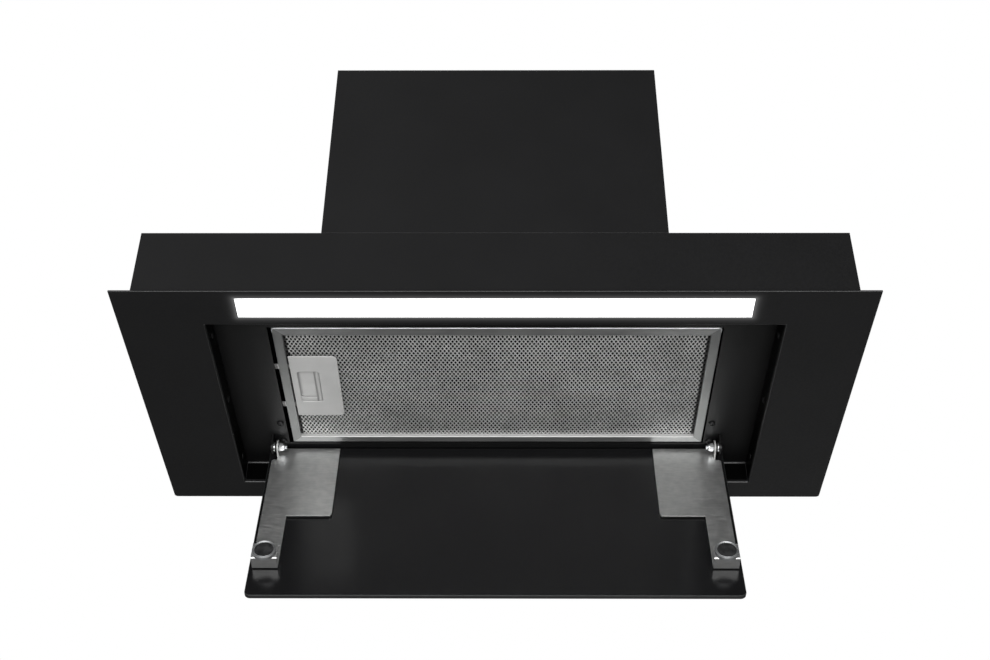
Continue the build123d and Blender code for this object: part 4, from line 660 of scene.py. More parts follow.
def makeExpandedSheet():
    values = expandedSheet
    low, high = boxOf("filter_front_mesh")
    stepX, stepY = values["pitchX"] / 2, values["pitchY"] / 2
    columns = int((high[0] - low[0] - 2 * values["inset"]) / stepX)
    rows = int((high[1] - low[1] - 2 * values["inset"]) / stepY)
    i, j = np.meshgrid(np.arange(columns), np.arange(rows), indexing="ij")
    on = (i + j) % 2 == 0
    i, j = i[on], j[on]
    starts, ends = [], []
    for side in (-1, 1):
        keep = (i + side >= 0) & (i + side < columns) & (j + 1 < rows)
        starts.append(np.stack((i[keep], j[keep]), -1))
        ends.append(np.stack((i[keep] + side, j[keep] + 1), -1))
    size = np.array((stepX, stepY))
    origin = (low[:2] + high[:2]) / 2 - size * np.array((columns - 1, rows - 1)) / 2
    uneven = np.random.default_rng(values["seed"]).uniform(-1, 1, (columns, rows, 2)) * values["uneven"]

    def at(cells):
        return cells * size + origin + uneven[cells[:, 0], cells[:, 1]]

    handleLow, handleHigh = boxOf("filter_handle")
    back = values["cutBack"]

    def kept(centres):
        x, y = centres.T
        under = (x < handleHigh[0] - back) & (y > handleLow[1] + back) & (y < handleHigh[1] - back)
        beside = (x < handleLow[0] + values["cutBeside"]) & (y > handleLow[1]) & (y < handleHigh[1])
        return ~(under | beside)

    start, end = at(np.concatenate(starts)), at(np.concatenate(ends))
    keep = kept((start + end) / 2)
    start, end = start[keep], end[keep]
    bond = at(np.stack((i, j), -1))
    bond = bond[kept(bond)]
    along = (end - start) / np.linalg.norm(end - start, axis=1, keepdims=True)
    across = np.stack((-along[:, 1], along[:, 0]), -1)
    across *= np.sign(across[:, 1:])
    tilt = math.radians(values["strandTiltDeg"])
    flat = np.insert(across * math.cos(tilt), 2, -math.sin(tilt), 1)
    upright = np.insert(across * math.sin(tilt), 2, math.cos(tilt), 1)
    level = values["under"] + values["depth"] / 2
    start, end, bond = (np.insert(spots, 2, level, 1) for spots in (start, end, bond))
    strands = barSurface(start, end, flat, upright, values["strandWidth"], values["strandThickness"])
    tilt = math.radians(values["bondTiltDeg"])
    reach = np.array((0.0, math.cos(tilt), -math.sin(tilt))) * values["bondLength"] / 2
    bondUp = np.array((0.0, math.sin(tilt), math.cos(tilt)))
    bonds = barSurface(bond - reach, bond + reach, np.array((1.0, 0.0, 0.0)), bondUp, values["bondWidth"],
                       values["bondThickness"])
    points = np.concatenate((strands[0], bonds[0]))
    points[:, 2] = np.clip(points[:, 2], values["under"], values["under"] + values["depth"])
    faces = np.concatenate((strands[1], bonds[1] + len(strands[0])))
    mesh = bpy.data.meshes.new("expandedSheet")
    mesh.from_pydata(points * mm, [], faces.tolist())
    finishPiece("expandedSheet", mesh, strandMetal, "housing", ("filter_front_mesh",))
    mesh.materials.append(bondMetal)
    onBond = np.arange(len(faces)) >= len(strands[1])
    mesh.polygons.foreach_set("material_index", onBond.astype(np.int32))
    print("expanded sheet:", len(start), "strands and", len(bond), "bonds")


makeExpandedSheet()


# A rounded rectangle as a ring of points, a set of steps in each corner:
# corner centre + radius (cos a, sin a), with a over a quarter turn at each corner in turn
def roundedRing(left, right, front, rear, radii, steps=6):
    angle = np.linspace(0, np.pi / 2, steps)
    points = []
    corners = ((right, rear, -1, -1, 0), (left, rear, 1, -1, 1), (left, front, 1, 1, 2), (right, front, -1, 1, 3))
    for (x, y, inX, inY, turn), radius in zip(corners, radii):
        bend = angle + turn * np.pi / 2
        centre = (x + inX * radius, y + inY * radius)
        points.append(np.stack((centre[0] + radius * np.cos(bend), centre[1] + radius * np.sin(bend)), -1))
    return np.concatenate(points)


# Rolled edge along the front of the cassette, in zinc, brighter than the frame's aluminium: a painted highlight along
# the front edge. It follows the front corners with their radius and dies out on the side rails.
frontRoll = {"cornerRadius": 2.4, "cornerSteps": 8, "sideReach": 7.0, "radius": 0.62, "tipRadius": 0.05, "sunk": 0.25,
             "segments": 12}


def makeFrontRoll():
    values = frontRoll
    low, high = boxOf("filter_frame")
    left, right = low[0] + values["sunk"], high[0] - frameFinish["hookMm"] - values["sunk"]
    front, corner = low[1] + values["sunk"], values["cornerRadius"]
    bend = np.linspace(0, np.pi / 2, values["cornerSteps"])
    leftArc = np.stack((left + corner - corner * np.cos(bend), front + corner - corner * np.sin(bend)), -1)
    rightArc = np.array((left + right, 0)) + leftArc[::-1] * (-1, 1)
    rear = front + values["sideReach"]
    path = np.concatenate(([(left, rear)], leftArc, rightArc, [(right, rear)]))
    radius = np.full(len(path), values["radius"])
    radius[[0, -1]] = values["tipRadius"]
    roll = tube(path, radius, low[2] + values["sunk"], values["segments"])
    addPiece("frameFrontRoll", [roll], materialOf["zinc"], "housing")


makeFrontRoll()

# Cassette handle: a satin shell with a soft edge all round, standing on a skirt set back under the edge,
# and a finger hole with a rounded rim. Its left corners are nearly square.
handleShell = {"leftGrow": 0.9, "corner": 4.0, "leftCorner": 0.8, "leastCorner": 0.3, "edgeRadius": 0.7,
               "edgeFlat": 0.1, "flatInset": 1.4, "skirtBack": 2.6, "wall": 1.2, "skin": 0.8, "rimRadius": 0.2,
               "rimFlat": 0.8, "bendSteps": 5, "holeLeft": 4.4, "holeWidth": 18.9, "holeLength": 44.0,
               "holeCorner": 3.0, "holeBack": 1.0}


def makeHandle():
    values = handleShell
    low, high = boxOf("filter_handle")
    holeLeft = low[0] + values["holeLeft"]
    holeMiddle = (low[1] + high[1]) / 2

    def outer(inset):
        corner, square = (max(values[key] - inset, values["leastCorner"]) for key in ("corner", "leftCorner"))
        return roundedRing(low[0] - values["leftGrow"] + inset, high[0] - inset, low[1] + inset, high[1] - inset,
                           (corner, square, square, corner))

    def hole(grow):
        corner = values["holeCorner"] + grow
        half = values["holeLength"] / 2 + grow
        return roundedRing(holeLeft - grow, holeLeft + values["holeWidth"] + grow, holeMiddle - half,
                           holeMiddle + half, (corner,) * 4)

    back, under = low[2] + values["skin"], low[2]
    edge, flat, rim, skirt = (values[key] for key in ("edgeRadius", "edgeFlat", "rimRadius", "skirtBack"))
    bend = np.linspace(0, np.pi / 2, values["bendSteps"])
    section = [(outer(skirt + values["wall"]), high[2]), (outer(skirt), high[2]), (outer(skirt), back)]
    section += [(outer(edge * (1 - math.cos(b))), back - flat - (edge - flat) * math.sin(b)) for b in bend]
    section += [(outer(values["flatInset"]), under), (hole(rim + values["rimFlat"]), under)]
    section += [(hole(rim * (1 - math.sin(b))), under + rim * (1 - math.cos(b))) for b in bend]
    section += [(hole(0), back), (hole(values["holeBack"]), back), (outer(skirt + values["wall"]), back)]
    addPiece("filterHandle", [loft(section, True)], materialOf["handle_metal"], "housing",
             ("filter_handle",))


makeHandle()

# Latch slider: a plate whose underside is a height field, and two round-nosed tongues.
# Depth = padDepth x soft steps in from the left and front x a long ramp up to the rear, plus grooveDepth x groove,
# less a ridge on the pad's right. The groove is e ^ -(d / grooveWidth)^2, d being the distance to the pad's outline
# or to a line along it, and the ridge has the same form. The groove, and the tongues' parts in the gap and beyond the
# frame's side, are marked for painted shade.
latchShape = {"plateThick": 1.4, "width": 23.0, "length": 66.0, "stepMm": 0.3, "padLeft": 0.5, "padRight": 15.2,
              "padFront": -21.6, "padRear": 16.8, "padCorner": 4.0, "padDepth": 1.1, "softLeft": 2.3,
              "softRight": 0.7, "softFront": 3.2, "rampMm": 18.0, "grooveWidth": 0.7, "grooveDepth": 1.1,
              "grooveFrom": 4.5, "grooveSoft": 3.0, "roof": 0.25, "leftAt": 1.5, "leftWidth": 1.3, "leftShade": 0.5,
              "leftStop": 1.0, "leftSoft": 4.0, "rightWidth": 0.8, "rightShade": 0.7, "startSoft": 2.0,
              "ridgeAt": 17.5, "ridgeWidth": 1.0, "ridgeProud": 0.5, "edgeAt": 19.4, "edgeWidth": 0.35,
              "edgeShade": 0.5}
# Places along the nose and thickness there, as shares, run up to the full section of each tongue
latchTongue = {"width": 6.0, "under": 21.2, "thick": 1.2, "spread": 55.0, "root": 4.0, "nose": 1.6, "gapLeft": 8.2,
               "gapRight": 0.2, "gapSoft": 1.0, "gapMarked": 0.5, "litMm": 1.2, "litSoft": 0.3, "edgeMm": 0.05,
               "noseShares": ((0.0, 0.02), (0.0, 0.55), (0.25, 0.8), (1.0, 1.0)),
               "poleHalf": 0.02, "noseWidth": 0.75, "corner": 0.3, "cornerSteps": 3}


def softStep(value):
    value = np.clip(value, 0, 1)
    return value * value * (3 - 2 * value)


# A soft line: e ^ -(distance / width)^2
def bell(distance, width):
    return np.exp(-(distance / width) ** 2)


plateCells = (int(latchShape["width"] / latchShape["stepMm"]), int(latchShape["length"] / latchShape["stepMm"]))


def sliderPlate(left, centre, under, top):
    values = latchShape
    u = np.linspace(0, values["width"], plateCells[0])
    v = np.linspace(-values["length"] / 2, values["length"] / 2, plateCells[1])
    x, y = np.meshgrid(u, v, indexing="ij")
    front, rear, padLeft, padRight = (values[key] for key in ("padFront", "padRear", "padLeft", "padRight"))
    sides = softStep((x - padLeft) / values["softLeft"]) * softStep((padRight - x) / values["softRight"])
    ends = softStep((y - front) / values["softFront"]) * np.clip((rear - y) / values["rampMm"], 0, 1)
    corner = values["padCorner"]
    beyond = padRight + corner
    outX = np.abs(x - (padLeft + beyond) / 2) - (beyond - padLeft) / 2 + corner
    outY = np.abs(y - (front + rear) / 2) - (rear - front) / 2 + corner
    away = np.hypot(np.maximum(outX, 0), np.maximum(outY, 0)) + np.minimum(np.maximum(outX, outY), 0) - corner
    marked = softStep((y - rear + values["grooveFrom"]) / values["grooveSoft"]) * (x < padRight)
    leftStopped = softStep((rear - values["leftStop"] - y) / values["leftSoft"])
    started = softStep((y - front) / values["startSoft"])
    grooveAndShade = np.maximum.reduce((
        bell(away, values["grooveWidth"]) * marked,
        bell(x - values["leftAt"], values["leftWidth"]) * values["leftShade"] * leftStopped,
        bell(x - padRight, values["rightWidth"]) * started * values["rightShade"],
        bell(x - values["edgeAt"], values["edgeWidth"]) * started * values["edgeShade"]))
    ridge = bell(x - values["ridgeAt"], values["ridgeWidth"]) * started
    level = under + values["padDepth"] * sides * ends + values["grooveDepth"] * grooveAndShade - values["ridgeProud"] * ridge
    level = np.minimum(level, top - values["roof"])
    layers = [np.stack((left + x, centre + y, z), -1).reshape(-1, 3) for z in (level, np.full_like(x, top))]
    index = np.arange(x.size).reshape(x.shape)
    quads = np.stack((index[:-1, :-1], index[1:, :-1], index[1:, 1:], index[:-1, 1:]), -1).reshape(-1, 4)
    outline = np.concatenate((index[:-1, 0], index[-1, :-1], index[:0:-1, -1], index[0, :0:-1]))
    after = np.roll(outline, -1)
    walls = np.stack((outline, outline + x.size, after + x.size, after), -1)
    return np.concatenate(layers), np.concatenate((quads, quads[:, ::-1] + x.size, walls)), grooveAndShade.ravel()


def makeSlider():
    plate, tongue = latchShape, latchTongue
    low, high = boxOf("latch_slider")
    left = high[0] - plate["width"]
    centre = (low[1] + high[1]) / 2
    platePoints, plateFaces, grooveAndShade = sliderPlate(left, centre, high[2] - plate["plateThick"], high[2])
    surfaces = [(platePoints, plateFaces)]
    gapFrom, gapTo = left - tongue["gapLeft"], left - tongue["gapRight"]
    litFrom = boxOf("filter_frame")[0][0] - tongue["litMm"]
    rootX = left + tongue["root"]
    stations = [(low[0] + place * tongue["nose"], share) for place, share in tongue["noseShares"]]
    stations += [(x, 1.0) for x in (litFrom, litFrom + tongue["litSoft"], gapFrom - tongue["gapSoft"], gapFrom,
                                    gapTo, gapTo + tongue["gapSoft"], rootX)]
    stations.append((rootX, tongue["poleHalf"]))
    for side in (-1, 1):
        middleAt = (centre + side * tongue["spread"] / 2, tongue["under"] + tongue["thick"] / 2)
        entries = []
        for x, share in stations:
            widthShare = tongue["noseWidth"] + (1 - tongue["noseWidth"]) * share
            halfY = tongue["width"] / 2 * widthShare if share > tongue["poleHalf"] else tongue["poleHalf"]
            halfZ = tongue["thick"] / 2 * share
            radii = (tongue["corner"] * min(halfY, halfZ),) * 4
            ring = roundedRing(-halfY, halfY, -halfZ, halfZ, radii, tongue["cornerSteps"])
            entries.append((ring + middleAt, x))
        points, faces = loft(entries)
        surfaces.append((points[:, [2, 0, 1]], faces))
    piece = addPiece("latchSlider", surfaces, grooveLacquer, "latch", ("latch_slider",))
    near = rowsOf(piece.data.vertices, "co") / mm
    cells = np.array(plateCells) - 1
    places = (near[:, :2] - (left, centre - plate["length"] / 2)) / (plate["width"], plate["length"]) * cells
    column, row = np.clip(np.round(places), 0, cells).astype(int).T
    shade = grooveAndShade[column * plateCells[1] + row] * (near[:, 0] >= left)
    # Painted shadow: the tongues' parts in the gap beside the plate and out beyond the frame's side are marked fully
    # dark
    shade[(near[:, 0] > gapFrom - tongue["gapMarked"]) & (near[:, 0] < gapTo + tongue["edgeMm"])] = 1
    shade[near[:, 0] < litFrom + tongue["edgeMm"]] = 1
    piece.data.attributes.new("grooveAndShade", "FLOAT", "POINT").data.foreach_set("value", shade.astype(np.float32))


makeSlider()

# Latch spring: one wire in a zigzag with round turns, y = -(width / 2) cos(2 pi waves t), t from 0 to 1 along it.
# In the real latch its left end goes with the latch and its right end stays with the handle, so it closes up when the
# latch is drawn; this piece is made at rest and rides with no body.
latchSpring = {"wire": 0.8, "waves": 3, "width": 12.0, "points": 140, "segments": 10, "tipRadius": 0.02}


def makeSpring():
    values = latchSpring
    low, high = boxOf("latch_spring")
    radius = values["wire"] / 2
    t = np.linspace(0, 1, values["points"])
    x = low[0] + radius + t * (high[0] - low[0] - 2 * radius)
    y = (low[1] + high[1]) / 2 - values["width"] / 2 * np.cos(2 * np.pi * values["waves"] * t)
    share = np.full(len(t), radius)
    share[[0, -1]] = values["tipRadius"]
    wire = tube(np.stack((x, y), -1), share, high[2] - radius, values["segments"])
    piece = addPiece("latchSpring", [wire], materialOf["steel"], None, ("latch_spring",))
    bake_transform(piece)


makeSpring()
print("handle and latch made")

# Pan-head screw: dome with a cross recess and a shank. On the head, height = top (1 - sag s^4) less the recess,
# where s is the share of the head's radius, and the recess is a cross of two bars.
panScrew = {"sag": 0.45, "barHalfWidth": 0.17, "barReach": 0.62, "recessDepth": 0.55, "rings": 12, "segments": 32}


def screwsAt(places, out, sizes):
    values = panScrew
    segments, head, shank = values["segments"], sizes["headRadius"], sizes["shankRadius"]
    angle = 2 * np.pi * np.arange(segments) / segments
    share = np.broadcast_to(np.linspace(0, 1, values["rings"])[:, None], (values["rings"], segments))
    x, y = np.abs(share * np.cos(angle)), np.abs(share * np.sin(angle))
    bars = (np.minimum(x, y) < values["barHalfWidth"]) & (np.maximum(x, y) < values["barReach"])
    top = sizes["headHeight"] * (1 - values["sag"] * share ** 4 - values["recessDepth"] * bars)
    profile = [*zip(share * head, top), (head, 0), (shank, 0), (shank, -sizes["shankLength"]),
               (0, -sizes["shankLength"])]
    points, faces = turned(profile, segments)
    out = np.asarray(out, float)
    right = np.array((0.0, 1.0, 0.0)) if abs(out[1]) < 0.5 else np.array((1.0, 0.0, 0.0))
    return [(placed(points, place, right, np.cross(out, right), out), faces) for place in places]


# Screws that hold the hinge feet, up through the deck
deckScrews = {"headRadius": 3.0, "headHeight": 2.2, "shankRadius": 1.5, "shankLength": 4.2}
screwLow, screwHigh = boxOf("hinge_screws")
screwX = screwHigh[0] - deckScrews["headRadius"]
screwYs = (screwLow[1] + deckScrews["headRadius"], screwHigh[1] - deckScrews["headRadius"])
deckPlaces = [(side * screwX, y, screwLow[2] + deckScrews["headHeight"]) for side in (-1, 1) for y in screwYs]
addPiece("deckScrews", screwsAt(deckPlaces, (0, 0, -1), deckScrews), materialOf["black_screw"], "housing",
         ("hinge_screws",))

# Screws on the motor box's lid and on the foot of the outlet collar
lidScrews = {"headRadius": 3.6, "headHeight": 2.0, "shankRadius": 1.6, "shankLength": 1.8, "edgeInset": 5.0,
             "cornerInset": 14.0}
lidLow, lidHigh = boxOf("motor_box_lid")
lidInset, cornerInset = lidScrews["edgeInset"], lidScrews["cornerInset"]
lidPlaces = [(side * (lidHigh[0] - lidInset), y, lidHigh[2]) for side in (-1, 1)
             for y in (lidLow[1] + cornerInset, (lidLow[1] + lidHigh[1]) / 2, lidHigh[1] - cornerInset)]
lidPlaces += [(0.0, y, lidHigh[2]) for y in (lidLow[1] + lidInset, lidHigh[1] - lidInset)]
addPiece("lidScrews", screwsAt(lidPlaces, (0, 0, 1), lidScrews), materialOf["black_screw"], "housing")
collarScrews = {"headRadius": 3.6, "headHeight": 2.0, "shankRadius": 1.6, "shankLength": 3.8, "spacing": 156.0,
                "footThick": 3.0}
collarMiddle = middle("outlet_collar")
collarHalf = collarScrews["spacing"] / 2
collarPlaces = [(sideX * collarHalf, collarMiddle[1] + sideY * collarHalf, lidHigh[2] + collarScrews["footThick"])
                for sideX in (-1, 1) for sideY in (-1, 1)]
addPiece("collarScrews", screwsAt(collarPlaces, (0, 0, 1), collarScrews), materialOf["zinc"], "housing")

# Dome rivets through the recess's side walls into the deck's folded sides, heads towards the recess
recessRivets = {"radius": 3.0, "height": 1.0, "sunk": 0.4, "z": 10.0, "ys": (-79.0, 11.0, 100.0), "wall": 231.0,
                "bendSteps": 7, "segments": 24}


def makeRivets():
    values = recessRivets
    radius, sunk = values["radius"], values["sunk"]
    bend = np.linspace(0, np.pi / 2, values["bendSteps"])
    profile = [*zip(radius * np.sin(bend), values["height"] * np.cos(bend)), (radius, -sunk), (0, -sunk)]
    points, faces = turned(profile, values["segments"])
    surfaces = [(placed(points, (side * values["wall"], y, values["z"]), (0, 1, 0), (0, 0, 1), (-side, 0, 0)), faces)
                for side in (-1, 1) for y in values["ys"]]
    addPiece("recessRivets", surfaces, materialOf["recess_steel"], "housing")


makeRivets()

# Inner bend where the recess's rear wall turns into the deck: corner - radius (1 - cos a, 1 - sin a), a over a
# quarter turn, closed at the corner and drawn out along X
# The bend takes the lighter edge coat, a painted highlight line along it
deckBend = {"radius": 1.6, "rearWall": 125.0, "deckUnder": 19.5, "halfLength": 230.5, "steps": 9}


def makeDeckBend():
    values = deckBend
    bend = np.linspace(0, np.pi / 2, values["steps"])
    corner = np.array(((values["rearWall"], values["deckUnder"]),))
    section = np.append(corner - values["radius"] * (1 - np.stack((np.cos(bend), np.sin(bend)), -1)), corner, 0)
    pole = np.repeat(corner, len(section), 0)
    half = values["halfLength"]
    points, faces = loft([(pole, -half), (section, -half), (section, half), (pole, half)])
    addPiece("deckBend", [(points[:, [2, 0, 1]], faces)], edgeCoatHighlight, "housing", smoothDeg=0.0)


makeDeckBend()
print("screws and rivets made")

# Hinge hardware, M4, one stack on each side: button-head bolt with a hexagon socket and a threaded tip,
# washer with rounded rims, and a locking nut with its nylon ring
hingeStack = {"segments": 48, "boltRadius": 2.0, "tipTaper": 0.5, "boltInHead": 0.5, "headRadius": 3.5,
              "headHeight": 2.5, "headWall": 0.35, "headDraw": 0.55, "headSteps": 6, "socketFlats": 2.5,
              "socketDepth": 1.3, "socketCone": 0.3, "threadPitch": 0.7, "threadDepth": 0.3, "threadLength": 7.0,
              "boreGap": 0.05,
              "washerRadius": 4.5, "washerThick": 1.0, "washerRim": 0.22, "washerSegments": 40, "nutFlats": 7.0,
              "nutHexLength": 3.4, "nutLength": 5.0, "nutCone": 1.01, "nutChamfer": 0.45, "collarRadius": 3.1,
              "collarStep": 0.05, "collarDrop": 0.5, "collarTaper": 0.45}


# A hexagon's outline as radii: half the flats / cos of the angle from the nearest flat's middle
def hexagonRadius(flats, segments):
    angle = 2 * np.pi * np.arange(segments) / segments
    return flats / 2 / np.cos((angle + np.pi / 6) % (np.pi / 3) - np.pi / 6)


def makeHingeStack():
    values = hingeStack
    bolt, head, tall = values["boltRadius"], values["headRadius"], values["headHeight"]
    headSeat = boxOf("hinge_bolts")[1][0] - tall
    reach = headSeat - np.abs(pointsOf("hinge_bolts")[:, 0]).min()
    threadFrom, pitch = values["threadLength"] - reach, values["threadPitch"]
    shank = [(0, -reach), (bolt - values["tipTaper"], -reach)]
    for turn in range(int(values["threadLength"] / pitch), 0, -1):
        ridge = threadFrom - turn * pitch
        shank += [(bolt - values["threadDepth"], ridge), (bolt, ridge + pitch / 2)]
    shank += [(bolt, threadFrom), (bolt, values["boltInHead"]), (0, values["boltInHead"])]
    wall, draw, socketFloor = values["headWall"], values["headDraw"], tall - values["socketDepth"]
    socket = hexagonRadius(values["socketFlats"], values["segments"])
    rise = np.linspace(0, 1, values["headSteps"])
    cap = [(0, 0), (head, 0), *zip(head * (1 - draw * rise ** 2), tall * (wall + (1 - wall) * rise)),
           (socket, tall), (socket, socketFloor), (0, socketFloor - values["socketCone"])]
    rim, bore = values["washerRim"], bolt + values["boreGap"]
    outer, thick = values["washerRadius"], values["washerThick"]
    washer = [(bore, 0), (outer - rim, 0), (outer, rim), (outer, thick - rim), (outer - rim, thick), (bore, thick)]
    hexagon = hexagonRadius(values["nutFlats"], values["segments"])
    cone = np.minimum(hexagon, values["nutFlats"] / 2 * values["nutCone"])
    hexLength, length, chamfer = values["nutHexLength"], values["nutLength"], values["nutChamfer"]
    collar = values["collarRadius"]
    nut = [(bore, 0), (cone, 0), (hexagon, chamfer), (hexagon, hexLength - chamfer), (cone, hexLength),
           (collar, hexLength + values["collarStep"]), (collar, length - values["collarDrop"]),
           (collar - values["collarTaper"], length), (bore, length)]
    segments = values["segments"]
    pieces = (("hingeBolts", turned(shank, segments), headSeat, 1, "zinc", ("hinge_bolts",)),
              ("hingeBoltHeads", turned(cap, segments), headSeat, 1, "black_screw", ()),
              ("hingeWashers", turned(washer, values["washerSegments"], True), boxOf("hinge_washers")[1][0], -1,
               "zinc", ("hinge_washers",)),
              ("hingeNuts", turned(nut, segments, True), boxOf("hinge_nuts")[1][0], -1, "zinc", ("hinge_nuts",)))
    for name, (points, faces), seat, facing, slotName, replaced in pieces:
        surfaces = []
        for side in (-1, 1):
            place = (side * seat, hingePlace[1], hingePlace[2])
            surfaces.append((placed(points, place, (0, 1, 0), (0, 0, 1), (facing * side, 0, 0)), faces))
        addPiece(name, surfaces, materialOf[slotName], "housing", replaced)


makeHingeStack()
print("hinge hardware made")

# Pot magnets on the flap's arms: steel cup with a rounded rim, a turned groove inside the rim, a thin inner lip,
# and the dark core set a little back
potMagnet = {"x": 192.3, "down": 135.0, "seat": 3.2, "cupRadius": 10.0, "coreRadius": 8.1, "height": 3.8,
             "floor": 1.5, "coreBack": 0.3, "coreEdge": 0.3, "foot": 0.4, "rim": 0.4, "lip": 0.2, "grooveDepth": 0.6,
             "grooveWidth": 0.5, "rimSteps": 5, "segments": 64}


def makeMagnets():
    values = potMagnet
    outer, inner, height, rim = (values[key] for key in ("cupRadius", "coreRadius", "height", "rim"))
    floor, foot, lip = values["floor"], values["foot"], values["lip"]
    bend = np.linspace(0, np.pi / 2, values["rimSteps"])
    lipOut, grooveFloor = inner + 2 * lip, height - values["grooveDepth"]
    cup = [(0, 0), (outer - foot, 0), (outer, foot),
           *zip(outer - rim + rim * np.cos(bend), height - rim + rim * np.sin(bend)),
           (lipOut + values["grooveWidth"], grooveFloor), (lipOut, grooveFloor), (lipOut, height - lip),
           (inner + lip, height), (inner, height - lip), (inner, floor), (0, floor)]
    coreTop, edge = height - values["coreBack"], values["coreEdge"]
    core = [(0, floor), (inner, floor), (inner, coreTop - edge), (inner - edge, coreTop), (0, coreTop)]
    pieces = (("magnetCups", cup, cupNickel, "zinc", "magnet_cups"),
              ("magnetCores", core, materialOf["magnet"], "magnet", "magnet_cores"))
    for name, profile, material, slotName, node in pieces:
        points, faces = turned(profile, values["segments"])
        surfaces = []
        for side in (-1, 1):
            place = flapOrigin + side * values["x"] * flapRight - values["down"] * flapUp + values["seat"] * flapOut
            surfaces.append((placed(points, place, flapRight, flapUp, flapOut), faces))
        addPiece(name, surfaces, material, "flap", (node,))


makeMagnets()

# Outlet collar: two raised beads round the spigot that hold a hose. A bead's section is radius + proud cos(pi t / 2)
# across its width, t from -1 to 1, closed by a flat back inside the wall.
collarBeads = {"radius": 75.0, "proud": 0.9, "halfWidth": 2.2, "sunk": 0.6, "drops": (9.0, 20.0), "steps": 9,
               "segments": 120}


def makeCollarBeads():
    values = collarBeads
    radius, half = values["radius"], values["halfWidth"]
    top = boxOf("outlet_collar")[1][2]
    t = np.linspace(-1, 1, values["steps"])
    surfaces = []
    for drop in values["drops"]:
        section = [*zip(radius + values["proud"] * np.cos(np.pi * t / 2), top - drop + half * t),
                   *((radius - values["sunk"], top - drop + side * half) for side in (1, -1))]
        points, faces = turned(section, values["segments"], True)
        surfaces.append((points + (collarMiddle[0], collarMiddle[1], 0.0), faces))
    addPiece("collarBeads", surfaces, materialOf["black_plastic"], "housing")


makeCollarBeads()

# Gland for the supply lead: hexagon foot, ribbed dome nut and bored end
leadGland = {"flats": 22.0, "hexHeight": 5.0, "hexCone": 1.02, "hexChamfer": 0.8, "domeRadius": 8.5,
             "domeHeight": 10.0, "ribbed": 7.0, "ribStep": 0.05, "domeStep": 0.5, "domeDraw": 2.4, "domeSteps": 5,
             "bore": 4.0, "thread": 8.0, "threadLength": 11.0, "pitch": 1.5, "threadDepth": 0.45, "tipTaper": 0.4,
             "valleyAt": 0.4, "ridgeAt": 1.1, "ribs": 24, "ribDepth": 0.45, "ribTurn": 0.01}


def makeGland():
    values = leadGland
    low, high = boxOf("cable_gland")
    segments = 4 * values["ribs"]
    thread, pitch, length, tall = (values[key] for key in ("thread", "pitch", "threadLength", "hexHeight"))
    dome, bore, chamfer = values["domeRadius"], values["bore"], values["hexChamfer"]
    hexagon = hexagonRadius(values["flats"], segments)
    cone = np.minimum(hexagon, values["flats"] / 2 * values["hexCone"])
    angle = 2 * np.pi * np.arange(segments) / segments
    between = np.sin(values["ribs"] * angle + values["ribTurn"]) > 0
    ribs = dome - values["ribDepth"] * between
    rings = [(bore, -length), (thread - values["tipTaper"], -length)]
    for turn in range(int(length / pitch)):
        start = pitch * turn - length
        rings += [(thread - values["threadDepth"], start + values["valleyAt"]), (thread, start + values["ridgeAt"])]
    ribTop = tall + values["ribbed"]
    rings += [(thread, 0), (cone, 0), (hexagon, chamfer), (hexagon, tall - chamfer), (cone, tall),
              (ribs, tall + values["ribStep"]), (ribs, ribTop)]
    domeTop, across = tall + values["domeHeight"], dome - values["domeStep"]
    rise = np.linspace(0, 1, values["domeSteps"])[1:]
    rings += [*zip(across - values["domeDraw"] * rise ** 2, ribTop + (domeTop - ribTop) * rise), (bore, domeTop)]
    points, faces = turned(rings, segments, True)
    place = ((low[0] + high[0]) / 2, (low[1] + high[1]) / 2, high[2] - domeTop)
    addPiece("cableGland", [(points + place, faces)], materialOf["black_plastic"], "housing",
             ("cable_gland",))


makeGland()
print("magnets, collar and gland made")

# Camera: the place, angles and lens that the object's edges in the picture give
cameraView = {"place": (8.94, -1031.97, -732.18), "pitchDeg": 38.11, "yawDeg": -0.54, "rollDeg": 0.34,
              "lens": 53.84, "sensor": 36.0}


def makeCamera():
    pitch, yaw, roll = (math.radians(cameraView[key]) for key in ("pitchDeg", "yawDeg", "rollDeg"))
    forward = Vector((math.sin(yaw) * math.cos(pitch), math.cos(yaw) * math.cos(pitch), math.sin(pitch)))
    right = Vector((math.cos(yaw), -math.sin(yaw), 0))
    up = right.cross(forward)
    turnedRight = right * math.cos(roll) + up * math.sin(roll)
    turnedUp = up * math.cos(roll) - right * math.sin(roll)
    data = bpy.data.cameras.new("camera")
    data.sensor_width = cameraView["sensor"]
    data.lens = cameraView["lens"]
    camera = bpy.data.objects.new("camera", data)
    camera.matrix_world = Matrix.Translation(Vector(cameraView["place"]) * mm) @ Matrix(
        (turnedRight, turnedUp, -forward)).transposed().to_4x4()
    bpy.context.scene.collection.objects.link(camera)
    bpy.context.scene.camera = camera


makeCamera()

# Studio: the camera sees white all round, the hood is lit by a dim room and the soft boxes
studio = {"backdrop": 1.0, "backdropColour": "ffffff", "frontLight": 0.25, "backLight": 0.08, "floorDrop": 2300.0,
          "floorSize": 14000.0, "floor": "d9d9d8", "floorLight": "ececeb", "floorRoughness": 0.9,
          "cloudsPerMetre": 2.0}


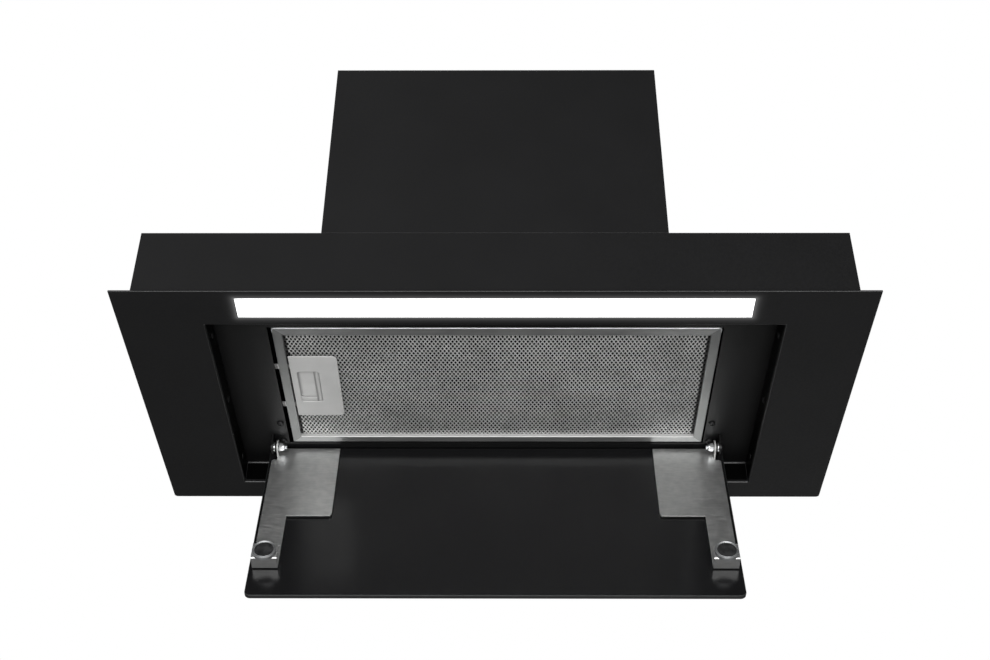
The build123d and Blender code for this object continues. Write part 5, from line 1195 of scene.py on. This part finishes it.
def makeStudio():
    scene = bpy.context.scene
    scene.view_settings.view_transform = "Standard"
    world = bpy.data.worlds.new("studioLight")
    world.use_nodes = True
    scene.world = world
    tree = world.node_tree
    tree.nodes.clear()
    direction = addNode(tree, "TexCoord").outputs["Generated"]
    axes = addNode(tree, "SeparateXYZ", (direction,)).outputs
    level = addNode(tree, "MapRange", (axes[1], -1.0, 1.0, studio["frontLight"], studio["backLight"]))
    white = linearColour(studio["backdropColour"])
    lit, seen = (addNode(tree, "Background", (white, strength)) for strength in (level, studio["backdrop"]))
    straight = addNode(tree, "LightPath").outputs["Is Camera Ray"]
    addNode(tree, "OutputWorld", (addNode(tree, "MixShader", (straight, lit, seen)),))

    half, drop = studio["floorSize"] / 2 * mm, studio["floorDrop"] * mm
    mesh = bpy.data.meshes.new("floor")
    corners = [(x * half, y * half, -drop) for x, y in ((-1, -1), (1, -1), (1, 1), (-1, 1))]
    mesh.from_pydata(corners, [], [(0, 1, 2, 3)])
    floor = bpy.data.objects.new("floor", mesh)
    scene.collection.objects.link(floor)
    material, tree, shader, place = startMaterial("paperPale", {"Roughness": studio["floorRoughness"]})
    cloud = addNode(tree, "TexNoise", {"Vector": place, "Scale": studio["cloudsPerMetre"]})
    ends = {0: cloud, 6: linearColour(studio["floor"]), 7: linearColour(studio["floorLight"])}
    tree.links.new(addNode(tree, "Mix", ends, data_type="RGBA").outputs[2], shader.inputs["Base Color"])
    mesh.materials.append(material)


makeStudio()

# Soft boxes: place, what they point at, size and watts. The low and high ones stand behind the camera, and the
# others light the faces that the camera does not see.
softBoxes = {
    "lowBox": {"place": (50, -1750, -1000), "aim": (0, 0, 0), "size": (2200, 1500), "watts": 64.0},
    "highBox": {"place": (-800, -1900, 1500), "aim": (0, 0, 0), "size": (2000, 1500), "watts": 5.2},
    "topBox": {"place": (-300, 1500, 2200), "aim": (0, 0, 150), "size": (1800, 1800), "watts": 20.0},
    "backBox": {"place": (700, 2300, 300), "aim": (0, 0, 100), "size": (1500, 1500), "watts": 9.0},
    "leftBox": {"place": (-2500, 700, 500), "aim": (0, 0, 120), "size": (1300, 1300), "watts": 7.0},
    "rightBox": {"place": (2500, 700, 500), "aim": (0, 0, 120), "size": (1300, 1300), "watts": 5.0},
}


def makeLights():
    for name, box in softBoxes.items():
        data = bpy.data.lights.new(name, "AREA")
        data.shape = "RECTANGLE"
        data.size, data.size_y = box["size"][0] * mm, box["size"][1] * mm
        data.energy = box["watts"]
        light = bpy.data.objects.new(name, data)
        place, aim = Vector(box["place"]) * mm, Vector(box["aim"]) * mm
        light.location = place
        light.rotation_euler = (aim - place).to_track_quat("-Z", "Y").to_euler()
        light.visible_camera = False
        bpy.context.scene.collection.objects.link(light)


makeLights()
print("camera, studio and lights made")
